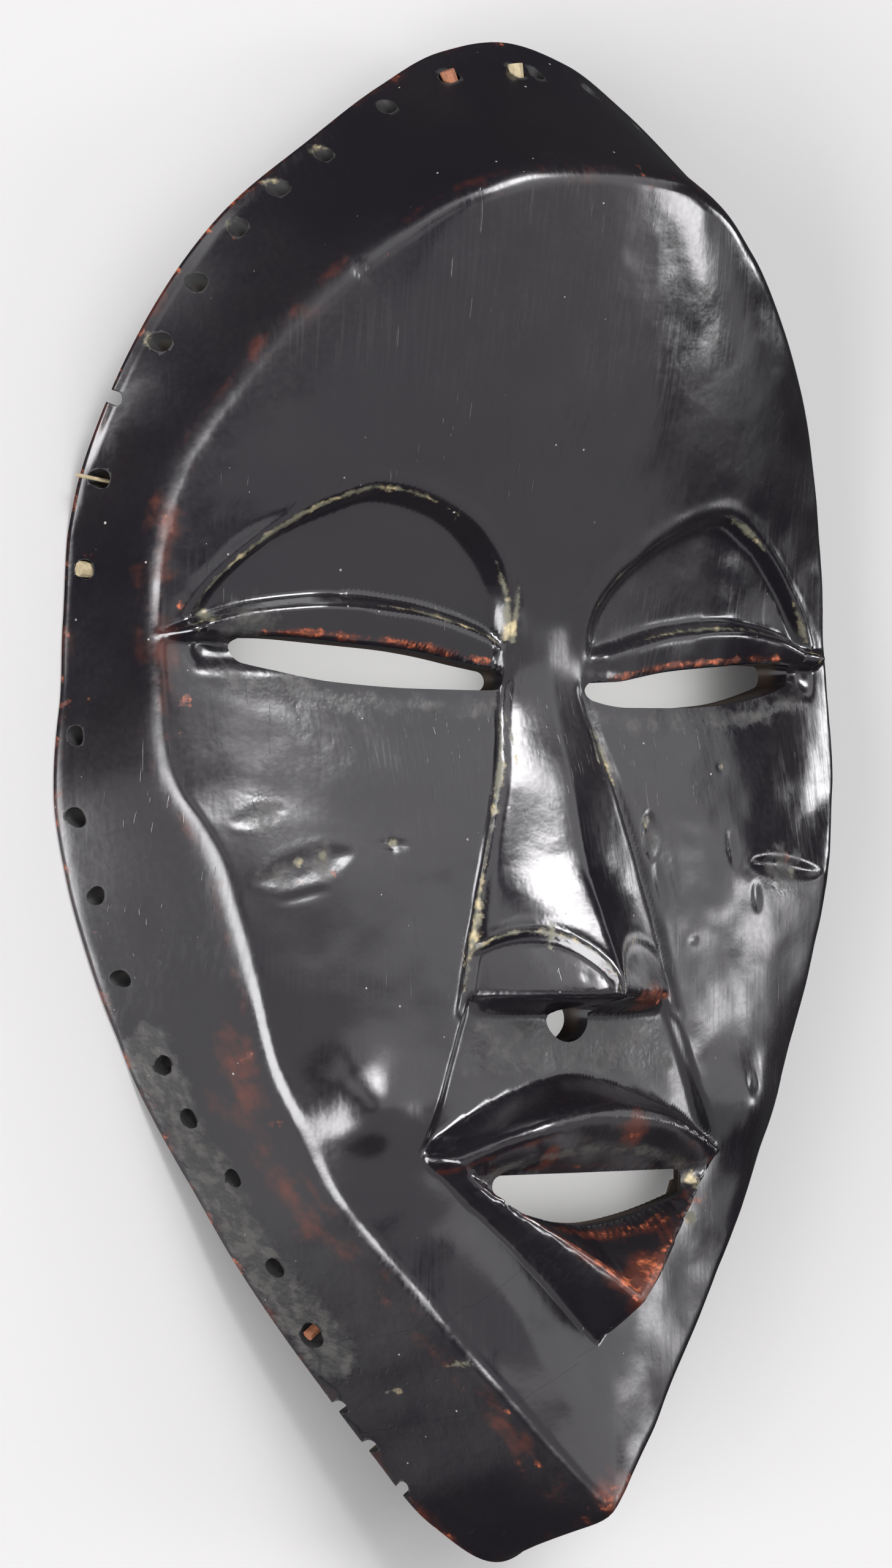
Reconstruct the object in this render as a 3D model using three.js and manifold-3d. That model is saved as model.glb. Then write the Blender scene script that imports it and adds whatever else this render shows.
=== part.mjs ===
// A face mask carved from one block of dark wood, lying on the flat back of its rim with the face up.
// Millimetres. X runs to the viewer's right, Y to the top of the head and Z out of the face.

import * as THREE from 'three';
import { ConvexHull } from 'three/addons/math/ConvexHull.js';
import { mergeVertices } from 'three/addons/utils/BufferGeometryUtils.js';
import Module from 'manifold-3d';

const wasm = await Module();
wasm.setup();

// Overall sizes of the mask
const mask_height = 239;
const mask_width = 146;
const mask_depth = 53;

// Walls and the gouged hollow
const wall = 8; // from the face to the hollow, along Z
const rim_land = 8; // breadth of the flat back of the rim
const nose_gouge = { half_width: 8, half_length: 18, depth: 8, y: -13 };

// Openings
const slit_inner_end = 8; // from the middle to the inner end of an eye slit
const slit_outer_end = 57;
const mouth_slot = { half_width: 18, top: -57.7, corner: 1.5, bottom_end: -61.2, bottom: -65.5, y: -60.5 };
const septum_hole = { half_width: 4, half_height: 2.9, y: -35.4 };

// Holes round the rim
const rim_hole_radius = 1.5;
const torn_hole_radius = 2.1; // the hole that holds the reed, worn wide
const peg_clearance = 0.3;
const peg_radius = rim_hole_radius - peg_clearance;

// Angles, in degrees, are measured round the mask from the top of the head.
// A rise is the distance of a hole from the rim, up the slope of the flange.
const rim_holes = [[1, 8], [7, 6], [13, 4.5], [20, 4], [25, 3.5], [30, 3.5], [36, 3.5], [42, 3.5], [55, 3.5],
  [64, 3.5], [83, 3.5], [93, 3.5], [103, 4.5], [114, 4.5], [126, 6.5], [133, 6.5], [141, 8.5], [151, 6.5]];
const torn_hole = [158, 5];
const rim_notches = [[48, 0.6], [164, 0.8], [167.5, 0.8], [171, 0.8]]; // holes broken out of the edge
const notch_depth = 3;

// What is left in five holes; stand_out is how far a stub looks out of the flange
const peg = { length: 5, stand_out: 0.6 };
const reed_stub = { hole: torn_hole, hole_radius: torn_hole_radius, radius: 0.9, length: 5, stand_out: 0 };
const pale_sliver = { hole: rim_holes[8], radius: 0.3, length: 6, stand_out: 3.2 };

// The carving is drawn once, on a mask of these sizes, and follows the overall sizes above.
const drawn = { height: 239, width: 146, depth: 53 };
const grow_x = mask_width / drawn.width;
const grow_y = mask_height / drawn.height;
const grow_z = mask_depth / drawn.depth;

// Rim: [angle, radius] and [angle, Z]
const rim_radii = [[0, 118.5], [6, 116.6], [12, 112.3], [20, 106.8], [30, 102.1], [40, 96], [50, 88.8],
  [60, 81.4], [70, 76], [80, 73.2], [90, 73], [100, 72], [110, 71.5], [120, 72], [130, 74.4], [140, 78.3],
  [150, 85.1], [160, 94.3], [168, 104.8], [174, 114.6], [180, 120.5]];
const rim_rises = [[0, 15.3], [20, 14.6], [30, 12.8], [40, 10], [50, 5.2], [57, 1.2], [62, 0], [124, 0],
  [130, 0.8], [140, 2.7], [150, 5.2], [160, 7.9], [168, 10.6], [180, 14.2]];

// Edge between the flange and the face: [angle, radius, Z]
const face_edge = [[0, 95.2, 47], [8, 95.2, 46], [14, 94.6, 42.5], [22, 91.5, 36.9], [32, 86.8, 29.9],
  [42, 82.6, 23.4], [52, 78.6, 17.8], [60, 74.8, 15.7], [67, 71, 15.6], [75, 67.9, 16.5], [82, 66.4, 17.2],
  [88, 64.8, 18.5], [95, 61.4, 22.6], [103, 59.8, 25.2], [112, 60.2, 25.6], [120, 62, 25.3],
  [130, 65.5, 24.6], [140, 70.1, 25.5], [148, 74.7, 27.9], [156, 79.2, 31.9], [164, 86.3, 35.6],
  [170, 93.5, 38.7], [175, 101.5, 41.8], [180, 110.8, 45.5]];

// Face on the centre line, without the nose and lips: [Y, Z], and how full the face is across: [Y, power]
const middle_line = [[-110.8, 45.5], [-100, 43.5], [-84, 40.5], [-57, 37], [-45, 35.5], [-30, 34], [0, 31],
  [18, 27], [26, 28], [40, 32.5], [55, 38], [72, 42.5], [86, 45.5], [95.2, 47]];
const fullness = [[-113.8, 1.6], [-90, 1.8], [-57, 2.6], [-20, 3.2], [10, 2.8], [26, 2.3], [50, 2.2],
  [99, 2.2]];
const flange_dip = 1.2;
const cheek_mound = { a: 36, y: -44, height: 1.6, spread: 8.4 };
const chin_ridge = [[-111, 0.12], [-99.5, 0.33], [-81, 0.52], [-74, 0.55], [-66, 0.57], [-60, 0.6]];
const chin_plane_fall = 0.12; // share of the fall to the edge that comes before the ridge

// Brow arcs and eye sockets
const brow = { a: 33.8, y: 26, half_width: 26.3, height: 20.8, inner_power: 1.8, outer_power: 1.4 };
const socket_depth = 2;
const socket_slope = 2.2;
const socket_foot = { from: 17.5, to: 21.5 }; // Y over which the socket starts at the slit

// Eyelids and slits: [distance from the middle, Y]
const slit_top = [[6, 18.6], [12, 19.6], [25, 21.9], [36, 22.9], [47, 23.7], [57, 23.6], [60, 23.5]];
const slit_bottom = [[6, 16.3], [12, 16], [25, 16.1], [38, 16.9], [48, 18.7], [57, 21.2], [60, 22.2]];
const lid_crease = [[6, 19.5], [9, 23.5], [16, 26.5], [26, 28.8], [38, 29.8], [50, 28.6], [58, 26.3], [64, 24]];
const lid_height = 3.4;
const under_eye = { depth: 1.3, flat: 4.2, reach: 7 }; // a flat strip, set back, with a step below it

// The right eye and brow were carved lower than the left ones. The drop fades out towards the middle, the
// edge, the mouth and the forehead.
const right_side = { drop: 2.3, middle: [0, 16], edge: [59, 66], mouth: [-45, -10], forehead: [48, 75] };

// Nose: [Y, half-width] and [Y, height of the ridge over the face]
const nose_widths = [[-34, 20.4], [-22, 17.3], [-10, 14.3], [7, 9.4], [20, 6.5]];
const nose_ridge = [[-34, 15.2], [-31, 14.5], [-20, 9.5], [-10, 5.2], [7, 2.2], [20, 0.6], [26, 0]];
const nose_base = { front: -31.2, back: -33.9 };
const nose_wing = { middle: 10.5, radius: 10.5, foot: -31.6, step: 1.6 };
const nose_side_power = 1.3; // 1 is a wedge with flat sides, 2 is round
const nose_crease = 0.7;

// Lips: half-width to the corners, middle and corner Y of each edge, and how each edge curves
const lip_corner = 28;
const lip_edge_corner = 25;
const upper_outline = { middle: -43.8, drop: 11, power: 1.7 };
const lower_outline = { middle: -84, drop: -29.2, power: 0.95 };
const upper_edge = { middle: -49.2, drop: 6.6, power: 1.8 };
const lower_edge = { middle: -77.2, drop: -21.2, power: 0.97 };
const upper_edge_heights = [[0, 45.2], [12, 44.6], [19, 42.2], [25, 38.6], [28, 36.4]];
const lower_edge_heights = [[0, 53], [4, 51.4], [12.5, 46.1], [20, 41.5], [25, 38.4], [28, 36.4]];
const lip_zone_depth = 1.8;
const mouth_floor = 38;

const radians = THREE.MathUtils.degToRad;
const smooth = (from, to, value) => {
  const t = THREE.MathUtils.clamp((value - from) / (to - from), 0, 1);
  return t * t * (3 - 2 * t);
};

// Value at one place of a smooth curve through [place, value] stations, level at both ends if asked
function through(stations, place, level_ends = false) {
  const slopes = [];
  for (let i = 1; i < stations.length; i += 1) {
    slopes.push((stations[i][1] - stations[i - 1][1]) / (stations[i][0] - stations[i - 1][0]));
  }
  const tangent = (i) => {
    if (i === 0) return level_ends ? 0 : slopes[0];
    if (i === stations.length - 1) return level_ends ? 0 : slopes[i - 1];
    const [before, after] = [slopes[i - 1], slopes[i]];
    return before * after > 0 ? (2 * before * after) / (before + after) : 0;
  };
  const last = stations.length - 1;
  const at = THREE.MathUtils.clamp(place, stations[0][0], stations[last][0]);
  let i = 0;
  while (i < last - 1 && at >= stations[i + 1][0]) i += 1;
  const step = stations[i + 1][0] - stations[i][0];
  const t = (at - stations[i][0]) / step;
  const start = (2 * t ** 3 - 3 * t ** 2 + 1) * stations[i][1] + (t ** 3 - 2 * t ** 2 + t) * step * tangent(i);
  const end = (3 * t ** 2 - 2 * t ** 3) * stations[i + 1][1] + (t ** 3 - t ** 2) * step * tangent(i + 1);
  return start + end;
}

// Outlines in the drawn mask: a is the distance from the middle, so one side serves for both
const edge_radii = face_edge.map(([angle, radius]) => [angle, radius]);
const edge_rises = face_edge.map(([angle, , z]) => [angle, z]);

function on_outline(angle, radius, z) {
  return { a: radius * Math.sin(radians(angle)), y: radius * Math.cos(radians(angle)), z };
}

const rim_at = (angle) => on_outline(angle, through(rim_radii, angle, true), through(rim_rises, angle, true));
const edge_at = (angle) => on_outline(angle, through(edge_radii, angle), through(edge_rises, angle));
const edge_walk = Array.from({ length: 361 }, (_, i) => edge_at(i / 2));

// Half-width and height of the face edge at one Y
function edge_beside(y) {
  const next = edge_walk.findIndex((point) => point.y <= y);
  if (next <= 0) {
    const end = next === 0 ? edge_walk[0] : edge_walk[edge_walk.length - 1];
    return { a: 0.001, z: end.z };
  }
  const [above, below] = [edge_walk[next - 1], edge_walk[next]];
  const t = (above.y - y) / (above.y - below.y);
  return { a: above.a + (below.a - above.a) * t, z: above.z + (below.z - above.z) * t };
}

// The face without its features: full across the cheeks, with a flat plane and a ridge at the chin
function face_base(a, y) {
  const edge = edge_beside(y);
  const share = Math.min(a / Math.max(edge.a, 0.001), 1);
  const middle = through(middle_line, y);
  const ridge = through(chin_ridge, y);
  const past_ridge = Math.max(share - ridge, 0) / (1 - ridge);
  const plane = chin_plane_fall * Math.min(share / ridge, 1) ** 2 + (1 - chin_plane_fall) * past_ridge ** 1.1;
  const at_chin = 1 - smooth(-78, -64, y);
  const fall = share ** through(fullness, y) * (1 - at_chin) + plane * at_chin;
  const away = ((a - cheek_mound.a) ** 2 + (y - cheek_mound.y) ** 2) / cheek_mound.spread ** 2;
  return middle + (edge.z - middle) * fall + cheek_mound.height * Math.exp(-away);
}

// How much lower the features are at a place than on the left side
function drop_at(x, y) {
  const across = smooth(...right_side.middle, x) * (1 - smooth(...right_side.edge, x));
  return right_side.drop * across * smooth(...right_side.mouth, y) * (1 - smooth(...right_side.forehead, y));
}

// How far inside the brow arc a place is, in millimetres
function inside_brow(a, y) {
  const side = (a - brow.a) / brow.half_width;
  const power = side < 0 ? brow.inner_power : brow.outer_power;
  const rise = Math.max(y - brow.y, 0) / brow.height;
  return (1 - (Math.abs(side) ** power + rise ** power) ** (1 / power)) * brow.height;
}

function socket_change(a, y) {
  const above_slit = smooth(socket_foot.from, socket_foot.to, y);
  return -socket_depth * smooth(0, socket_slope, inside_brow(a, y)) * above_slit;
}

function eyelid_change(a, y) {
  const [top, crease] = [through(slit_top, a), through(lid_crease, a)];
  const share = (y - top) / Math.max(crease - top, 0.5);
  if (share < -0.05) return 0;
  const front = 1 - 0.35 * Math.min(Math.max(0.8 - share, 0) / 0.8, 1.3) ** 1.5;
  const crest = share > 0.8 ? 1 - smooth(0.8, 1.08, share) : front;
  return lid_height * crest * smooth(7.5, 11, a) * (1 - smooth(60, 65, a));
}

function under_eye_change(a, y) {
  const [top, bottom] = [through(slit_top, a), through(slit_bottom, a)];
  if (y > (top + bottom) / 2) return 0;
  const dip = under_eye.depth * (1 - smooth(under_eye.flat, under_eye.reach, bottom - y));
  return -dip * smooth(5, 9, a) * (1 - smooth(58, 64, a));
}

const wing_arch = (a) => {
  const side = Math.min(Math.abs(a - nose_wing.middle) / nose_wing.radius, 1);
  return nose_wing.foot + nose_wing.radius * Math.sqrt(1 - side ** 2);
};

function nose_change(a, y) {
  const half_width = through(nose_widths, y);
  let change = 0;
  if (a < half_width && y < 26) {
    change = through(nose_ridge, y) * (1 - (a / half_width) ** nose_side_power);
    change -= nose_wing.step * smooth(0, 1.2, wing_arch(a) - y);
  }
  change *= smooth(nose_base.back, nose_base.front, y);
  if (y < 19 && y > -34) change -= nose_crease * Math.exp(-(((a - half_width - 0.4) / 0.8) ** 2));
  return change;
}

// Lip curves: Y of an outline or edge at a distance from the middle
const lip_curve = ({ middle, drop, power }, corner, a) => {
  const share = Math.min(a, corner) / corner;
  return middle - drop * share ** power;
};
const upper_outline_at = (a) => lip_curve(upper_outline, lip_corner, a);
const lower_outline_at = (a) => lip_curve(lower_outline, lip_corner, a);
const upper_edge_at = (a) => lip_curve(upper_edge, lip_edge_corner, a);
const lower_edge_at = (a) => lip_curve(lower_edge, lip_edge_corner, a);

// The set-back zone between the nose and the lips, inside a fold from the nose wing to the mouth corner
const fold_at = (y) => {
  const corner_y = upper_outline.middle - upper_outline.drop;
  return THREE.MathUtils.mapLinear(y, -34, corner_y, 20.4, lip_corner);
};

function lip_zone_change(a, y) {
  if (y > nose_base.front || y < upper_outline_at(a)) return 0;
  return -lip_zone_depth * smooth(0, 1.6, fold_at(y) - a);
}

// The bottom of the mouth slot sags from its ends to the middle.
function slot_bottom_at(a) {
  const share = Math.min(a / mouth_slot.half_width, 1);
  return mouth_slot.bottom + (mouth_slot.bottom_end - mouth_slot.bottom) * share ** 1.6;
}

// Height of the lips and of the mouth between them, or null outside the mouth
function mouth_height(a, y, face) {
  const [top, bottom] = [upper_outline_at(a), lower_outline_at(a)];
  if (a >= lip_corner || y >= top || y <= bottom) return null;
  const [upper, lower] = [upper_edge_at(a), lower_edge_at(a)];
  const [upper_z, lower_z] = [through(upper_edge_heights, a), through(lower_edge_heights, a)];
  if (y > upper) {
    const share = (top - y) / Math.max(top - upper, 0.8);
    const root = face - lip_zone_depth;
    return root + (upper_z - root) * Math.sin((Math.min(share, 1) * Math.PI) / 2) ** 0.9;
  }
  if (y < lower) {
    const share = (y - bottom) / Math.max(lower - bottom, 0.8);
    return face + (lower_z - face) * Math.min(share, 1) ** 0.75;
  }
  if (y > mouth_slot.y) {
    const share = Math.min((upper - y) / Math.max(upper - mouth_slot.top, 0.8), 1);
    return upper_z + (mouth_floor - upper_z) * share ** 1.2;
  }
  const share = Math.min((y - lower) / Math.max(slot_bottom_at(a) - lower, 0.8), 1);
  return lower_z + (mouth_floor - lower_z) * share;
}

// Height of the whole front at a place of the drawn mask
function front_height(x, y) {
  const a = Math.abs(x);
  const angle = THREE.MathUtils.radToDeg(Math.atan2(a, y));
  const radius = Math.hypot(a, y);
  const edge_radius = through(edge_radii, angle);
  if (radius > edge_radius) {
    const share = Math.min((radius - edge_radius) / (through(rim_radii, angle, true) - edge_radius), 1);
    const [from, to] = [through(edge_rises, angle), through(rim_rises, angle, true)];
    return from + (to - from) * share - flange_dip * Math.sin(Math.PI * share);
  }
  const plain = face_base(a, y);
  const level = y + drop_at(x, y);
  const eye = socket_change(a, level) + eyelid_change(a, level) + under_eye_change(a, level);
  return mouth_height(a, y, plain) ?? plain + eye + nose_change(a, level) + lip_zone_change(a, y);
}

// Places where the front needs a corner, on the side from the middle outwards
function front_places() {
  const places = [];
  const add = (a, y, spacing = 1) => {
    const near_middle = a < 0.8 ? 0 : a;
    if (places.some((place) => Math.hypot(place.a - near_middle, place.y - y) < spacing)) return;
    places.push({ a: near_middle, y });
  };
  const walk = (from, to, count, visit) => {
    for (let i = 0; i <= count; i += 1) visit(from + ((to - from) * i) / count);
  };
  walk(0, 180, 60, (angle) => add(rim_at(angle).a, rim_at(angle).y));
  walk(0, 180, 60, (angle) => add(edge_at(angle).a, edge_at(angle).y));
  walk(0, 180, 36, (angle) => {
    const [rim, edge] = [rim_at(angle), edge_at(angle)];
    add((rim.a + edge.a) / 2, (rim.y + edge.y) / 2);
    add(edge.a * 0.95, edge.y * 0.95);
    add(edge.a * 0.87, edge.y * 0.87);
  });

  walk(7, 62, 18, (a) => {
    const [top, bottom, crease] = [through(slit_top, a), through(slit_bottom, a), through(lid_crease, a)];
    add(a, top + 0.1, 0.7);
    add(a, bottom - 0.1, 0.7);
    add(a, top + (crease - top) * 0.8);
    add(a, top + (crease - top) * 1.1);
    add(a, bottom - under_eye.flat);
    add(a, bottom - under_eye.reach);
  });
  walk(0, 180, 22, (turn) => {
    const side = Math.cos(radians(turn));
    const power = 2 / (side > 0 ? brow.outer_power : brow.inner_power);
    const [across, up] = [Math.sign(side) * Math.abs(side) ** power, Math.sin(radians(turn)) ** power];
    add(brow.a + brow.half_width * across, brow.y + brow.height * up);
    const inner = 1 - socket_slope / brow.height;
    add(brow.a + brow.half_width * inner * across, brow.y + brow.height * inner * up);
  });

  walk(0, through(nose_widths, nose_base.front), 7, (a) => {
    add(a, nose_base.front, 0.8);
    add(a, nose_base.back, 0.8);
  });
  walk(18, 162, 14, (turn) => {
    const across = nose_wing.radius * Math.cos(radians(turn));
    const up = nose_wing.radius * Math.sin(radians(turn));
    add(nose_wing.middle + across, nose_wing.foot + up + 0.1, 0.8);
    add(nose_wing.middle + across * 0.9, nose_wing.foot + up - 1.2, 0.8);
  });
  walk(19, nose_base.front, 16, (y) => {
    const half_width = through(nose_widths, y);
    [0, 0.3, 0.6, 0.85].forEach((share) => add(half_width * share, y, 1.6));
    add(half_width + 0.4, y, 0.5);
    add(half_width + 1.9, y);
  });

  walk(0, lip_corner, 9, (a) => {
    add(a, upper_outline_at(a) + 0.2, 0.7);
    add(a, lower_outline_at(a) - 0.2, 0.7);
    add(a, (upper_outline_at(a) + upper_edge_at(a)) / 2);
    add(a, (lower_outline_at(a) + lower_edge_at(a)) / 2);
  });
  walk(0, lip_edge_corner, 9, (a) => {
    add(a, upper_edge_at(a), 0.8);
    add(a, lower_edge_at(a), 0.8);
  });
  walk(0, mouth_slot.half_width + 1, 6, (a) => {
    add(a, mouth_slot.top);
    add(a, slot_bottom_at(a));
  });
  walk(nose_base.back - 1.5, upper_outline_at(lip_corner) + 1, 6, (y) => {
    add(fold_at(y), y);
    add(fold_at(y) - 1.6, y);
  });
  walk(-62, -108, 13, (y) => add(through(chin_ridge, y) * edge_beside(y).a, y));

  // Plain stretches of the face get staggered rows.
  const pitch = 7;
  const rows = Math.floor(drawn.height / 2 / pitch);
  walk(-rows, rows, 2 * rows, (row) => {
    for (let a = (Math.abs(row) % 2) * (pitch / 2); a < drawn.width / 2; a += pitch) {
      const angle = THREE.MathUtils.radToDeg(Math.atan2(a, row * pitch));
      const reach = Math.hypot(a, row * pitch);
      if (reach < through(edge_radii, angle) - pitch / 2) add(a, row * pitch, pitch / 2);
    }
  });
  return places;
}

// Faces over scattered places: the lower hull of the places lifted on a bowl joins near neighbours
function join_places(places) {
  const bowl = 200;
  const lifted = places.map(({ a, y }, i) => {
    const stir = (i % 101) * 1e-6; // keeps four places from lying on one circle
    return new THREE.Vector3(a, y, (a * a + y * y) / bowl + stir);
  });
  const number_of = new Map(lifted.map((point, i) => [point, i]));
  const joined = [];
  new ConvexHull().setFromPoints(lifted).faces.forEach((face) => {
    if (face.normal.z > -1e-6) return;
    const corners = [0, 1, 2].map((n) => number_of.get(face.getEdge(n).head().point));
    const centre_a = corners.reduce((sum, i) => sum + places[i].a, 0) / 3;
    const centre_y = corners.reduce((sum, i) => sum + places[i].y, 0) / 3;
    const angle = THREE.MathUtils.radToDeg(Math.atan2(centre_a, centre_y));
    if (Math.hypot(centre_a, centre_y) > through(rim_radii, angle, true)) return;
    joined.push([corners[0], corners[2], corners[1]]);
  });
  return joined;
}

// A closed mesh becomes a solid that can be cut
function solid_of(geometry) {
  const bare = geometry.clone();
  bare.deleteAttribute('normal');
  bare.deleteAttribute('uv');
  const merged = mergeVertices(bare, 1e-4);
  return new wasm.Manifold(new wasm.Mesh({
    numProp: 3,
    vertProperties: new Float32Array(merged.attributes.position.array),
    triVerts: new Uint32Array(merged.index.array),
  }));
}

function geometry_of(solid) {
  const mesh = solid.getMesh();
  const corners = new Float32Array(mesh.numVert * 3);
  for (let i = 0; i < mesh.numVert; i += 1) {
    corners.set(mesh.vertProperties.subarray(i * mesh.numProp, i * mesh.numProp + 3), i * 3);
  }
  const geometry = new THREE.BufferGeometry();
  geometry.setAttribute('position', new THREE.BufferAttribute(corners, 3));
  geometry.setIndex(new THREE.BufferAttribute(new Uint32Array(mesh.triVerts), 1));
  geometry.computeVertexNormals();
  return geometry;
}

function mesh_geometry(corners, faces) {
  const geometry = new THREE.BufferGeometry();
  geometry.setAttribute('position', new THREE.Float32BufferAttribute(corners.flat(), 3));
  geometry.setIndex(faces.flat());
  return geometry;
}

// A place of the left side on the right side: lower by the drop, except on the outline
function lowered(a, y) {
  const angle = THREE.MathUtils.radToDeg(Math.atan2(a, y));
  const from_edge = through(edge_radii, angle) - Math.hypot(a, y);
  return y - drop_at(a, y) * smooth(0, 3, from_edge);
}

// The uncut block: the carved front on both sides of the middle, closed over the back from its rim
function carved_block() {
  const places = front_places();
  const corner = (x, y) => [x * grow_x, y * grow_y, front_height(x, y) * grow_z];
  const corners = places.map(({ a, y }) => corner(a, lowered(a, y)));
  const other_side = places.map(({ a, y }, i) => (a === 0 ? i : corners.push(corner(-a, y)) - 1));
  const faces = join_places(places).flatMap(([i, j, k]) => {
    const mirrored = [other_side[i], other_side[k], other_side[j]];
    return [[i, j, k], mirrored];
  });
  const open_sides = new Map();
  faces.forEach((face) => face.forEach((from, n) => {
    const to = face[(n + 1) % 3];
    if (!open_sides.delete(`${to} ${from}`)) open_sides.set(`${from} ${to}`, [from, to]);
  }));
  const back = corners.push([0, 0, 0]) - 1;
  open_sides.forEach(([from, to]) => faces.push([to, from, back]));
  return solid_of(mesh_geometry(corners, faces));
}

// The hollow follows the face at the wall's distance and the flange at the breadth of the rim's land.
function hollow_block() {
  const steps = 72;
  const below_rim = 5;
  const shares = [1, 0.94, 0.86, 0.76, 0.64, 0.5, 0.34, 0.17];
  const corners = [];
  for (let i = 0; i < steps; i += 1) {
    const turn = (i * 360) / steps;
    const angle = turn > 180 ? 360 - turn : turn;
    const side = turn > 180 ? -1 : 1;
    const [rim, edge] = [rim_at(angle), edge_at(angle)];
    const rim_radius = Math.hypot(rim.a * grow_x, rim.y * grow_y);
    const edge_radius = Math.hypot(edge.a * grow_x, edge.y * grow_y);
    const slope = ((edge.z - rim.z) * grow_z) / (rim_radius - edge_radius);
    const foot = (rim_radius - rim_land + below_rim / slope) / rim_radius;
    corners.push([side * rim.a * grow_x * foot, rim.y * grow_y * foot, rim.z * grow_z - below_rim]);
    const inset = (edge_radius - rim_land + wall / slope) / edge_radius;
    shares.forEach((share) => {
      const z = face_base(edge.a * share, edge.y * share) * grow_z - wall;
      corners.push([side * edge.a * share * inset * grow_x, edge.y * share * inset * grow_y, z]);
    });
  }
  const rows = shares.length + 1;
  const top = corners.push([0, 0, face_base(0, 0) * grow_z - wall]) - 1;
  const bottom = corners.push([0, 0, -2 * below_rim]) - 1;
  const faces = [];
  for (let i = 0; i < steps; i += 1) {
    const [here, next] = [i * rows, ((i + 1) % steps) * rows];
    for (let row = 0; row < rows - 1; row += 1) {
      faces.push([here + row, here + row + 1, next + row + 1], [here + row, next + row + 1, next + row]);
    }
    faces.push([here + rows - 1, top, next + rows - 1], [here, next, bottom]);
  }
  return solid_of(mesh_geometry(corners, faces));
}

// A straight cut along Z with the outline of a shape
function cut_through(shape) {
  const past_ends = 10;
  const depth = mask_depth + 2 * past_ends;
  const geometry = new THREE.ExtrudeGeometry(shape, { depth, bevelEnabled: false, steps: 1 });
  geometry.translate(0, 0, -past_ends);
  return solid_of(geometry);
}

function eye_slit(side) {
  const count = 12;
  const outline = [];
  for (let i = 0; i <= count; i += 1) {
    const a = slit_inner_end + ((slit_outer_end - slit_inner_end) * i) / count;
    const [bottom, top] = [through(slit_bottom, a), through(slit_top, a)];
    outline.push(new THREE.Vector2(side * a * grow_x, (bottom - drop_at(side * a, bottom)) * grow_y));
    outline.unshift(new THREE.Vector2(side * a * grow_x, (top - drop_at(side * a, top)) * grow_y));
  }
  return cut_through(new THREE.Shape(outline));
}

function mouth_opening() {
  const { half_width, top, corner } = mouth_slot;
  const steps = 6;
  const inner = half_width - corner;
  const outline = [[half_width, top - corner], [inner, top], [-inner, top], [-half_width, top - corner]];
  for (let i = -steps; i <= steps; i += 1) {
    const x = (half_width * i) / steps;
    outline.push([x, slot_bottom_at(Math.abs(x))]);
  }
  return cut_through(new THREE.Shape(outline.map(([x, y]) => new THREE.Vector2(x * grow_x, y * grow_y))));
}

function septum_opening() {
  const shape = new THREE.Shape();
  const { half_width, half_height, y } = septum_hole;
  shape.absellipse(0, y * grow_y, half_width, half_height, 0, 2 * Math.PI);
  return cut_through(new THREE.Shape(shape.getPoints(6)));
}

// Hollow gouged behind the nose from the inside
function nose_hollow() {
  const geometry = new THREE.SphereGeometry(1, 16, 10);
  geometry.scale(nose_gouge.half_width, nose_gouge.half_length, nose_gouge.depth);
  geometry.translate(0, nose_gouge.y * grow_y, face_base(0, nose_gouge.y) * grow_z - wall);
  return solid_of(geometry);
}

// Where a rim hole meets the flange, and the level direction in which it looks out
function hole_place(side, [angle, rise]) {
  const [rim, edge] = [rim_at(angle), edge_at(angle)];
  const foot = new THREE.Vector3(side * rim.a * grow_x, rim.y * grow_y, rim.z * grow_z);
  const head = new THREE.Vector3(side * edge.a * grow_x, edge.y * grow_y, edge.z * grow_z);
  const [before, after] = [rim_at(Math.max(angle - 2, 0)), rim_at(Math.min(angle + 2, 180))];
  const outward = new THREE.Vector3(side * (before.y - after.y) * grow_y, (after.a - before.a) * grow_x, 0);
  const mouth = foot.clone().addScaledVector(head.clone().sub(foot).normalize(), rise);
  return { mouth, outward: outward.normalize() };
}

function rod(radius, length, sides = 7) {
  return new THREE.CylinderGeometry(radius, radius, length, sides);
}

function rim_bore(side, place, radius, length = 4 * rim_land) {
  const { mouth, outward } = hole_place(side, place);
  const bore = new THREE.Mesh(rod(radius, length));
  bore.quaternion.setFromUnitVectors(new THREE.Vector3(0, 1, 0), outward);
  bore.position.copy(mouth);
  bore.updateMatrix();
  return solid_of(bore.geometry.applyMatrix4(bore.matrix));
}

function wooden_mask() {
  const bores = [-1, 1].flatMap((side) => rim_holes.map((place) => rim_bore(side, place, rim_hole_radius)));
  bores.push(rim_bore(-1, torn_hole, torn_hole_radius));
  bores.push(rim_bore(1, torn_hole, rim_hole_radius));
  rim_notches.forEach((place) => bores.push(rim_bore(-1, place, rim_hole_radius, 2 * notch_depth)));
  const openings = [hollow_block(), nose_hollow(), eye_slit(-1), eye_slit(1), mouth_opening(), septum_opening()];
  const cut = [...openings, ...bores].reduce((block, opening) => block.subtract(opening), carved_block());
  return geometry_of(cut);
}

// A stub left in a hole of the left rim, lying on the hole's lower side with its clearance
function stub(name, material, { hole, hole_radius = rim_hole_radius, radius = peg_radius, length, stand_out }) {
  const { mouth, outward } = hole_place(-1, hole);
  const mesh = new THREE.Mesh(rod(radius, length, 8), material);
  mesh.name = name;
  mesh.quaternion.setFromUnitVectors(new THREE.Vector3(0, 1, 0), outward);
  mesh.position.copy(mouth).addScaledVector(outward, stand_out - length / 2);
  mesh.position.z -= hole_radius - peg_clearance - radius;
  return mesh;
}

const dark_wood = new THREE.MeshStandardMaterial({ color: 0x16120f, roughness: 0.34, metalness: 0 });
const reed = new THREE.MeshStandardMaterial({ color: 0xb4622c, roughness: 0.7, metalness: 0 });
const pale_fibre = new THREE.MeshStandardMaterial({ color: 0xbcb294, roughness: 0.75, metalness: 0 });

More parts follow.
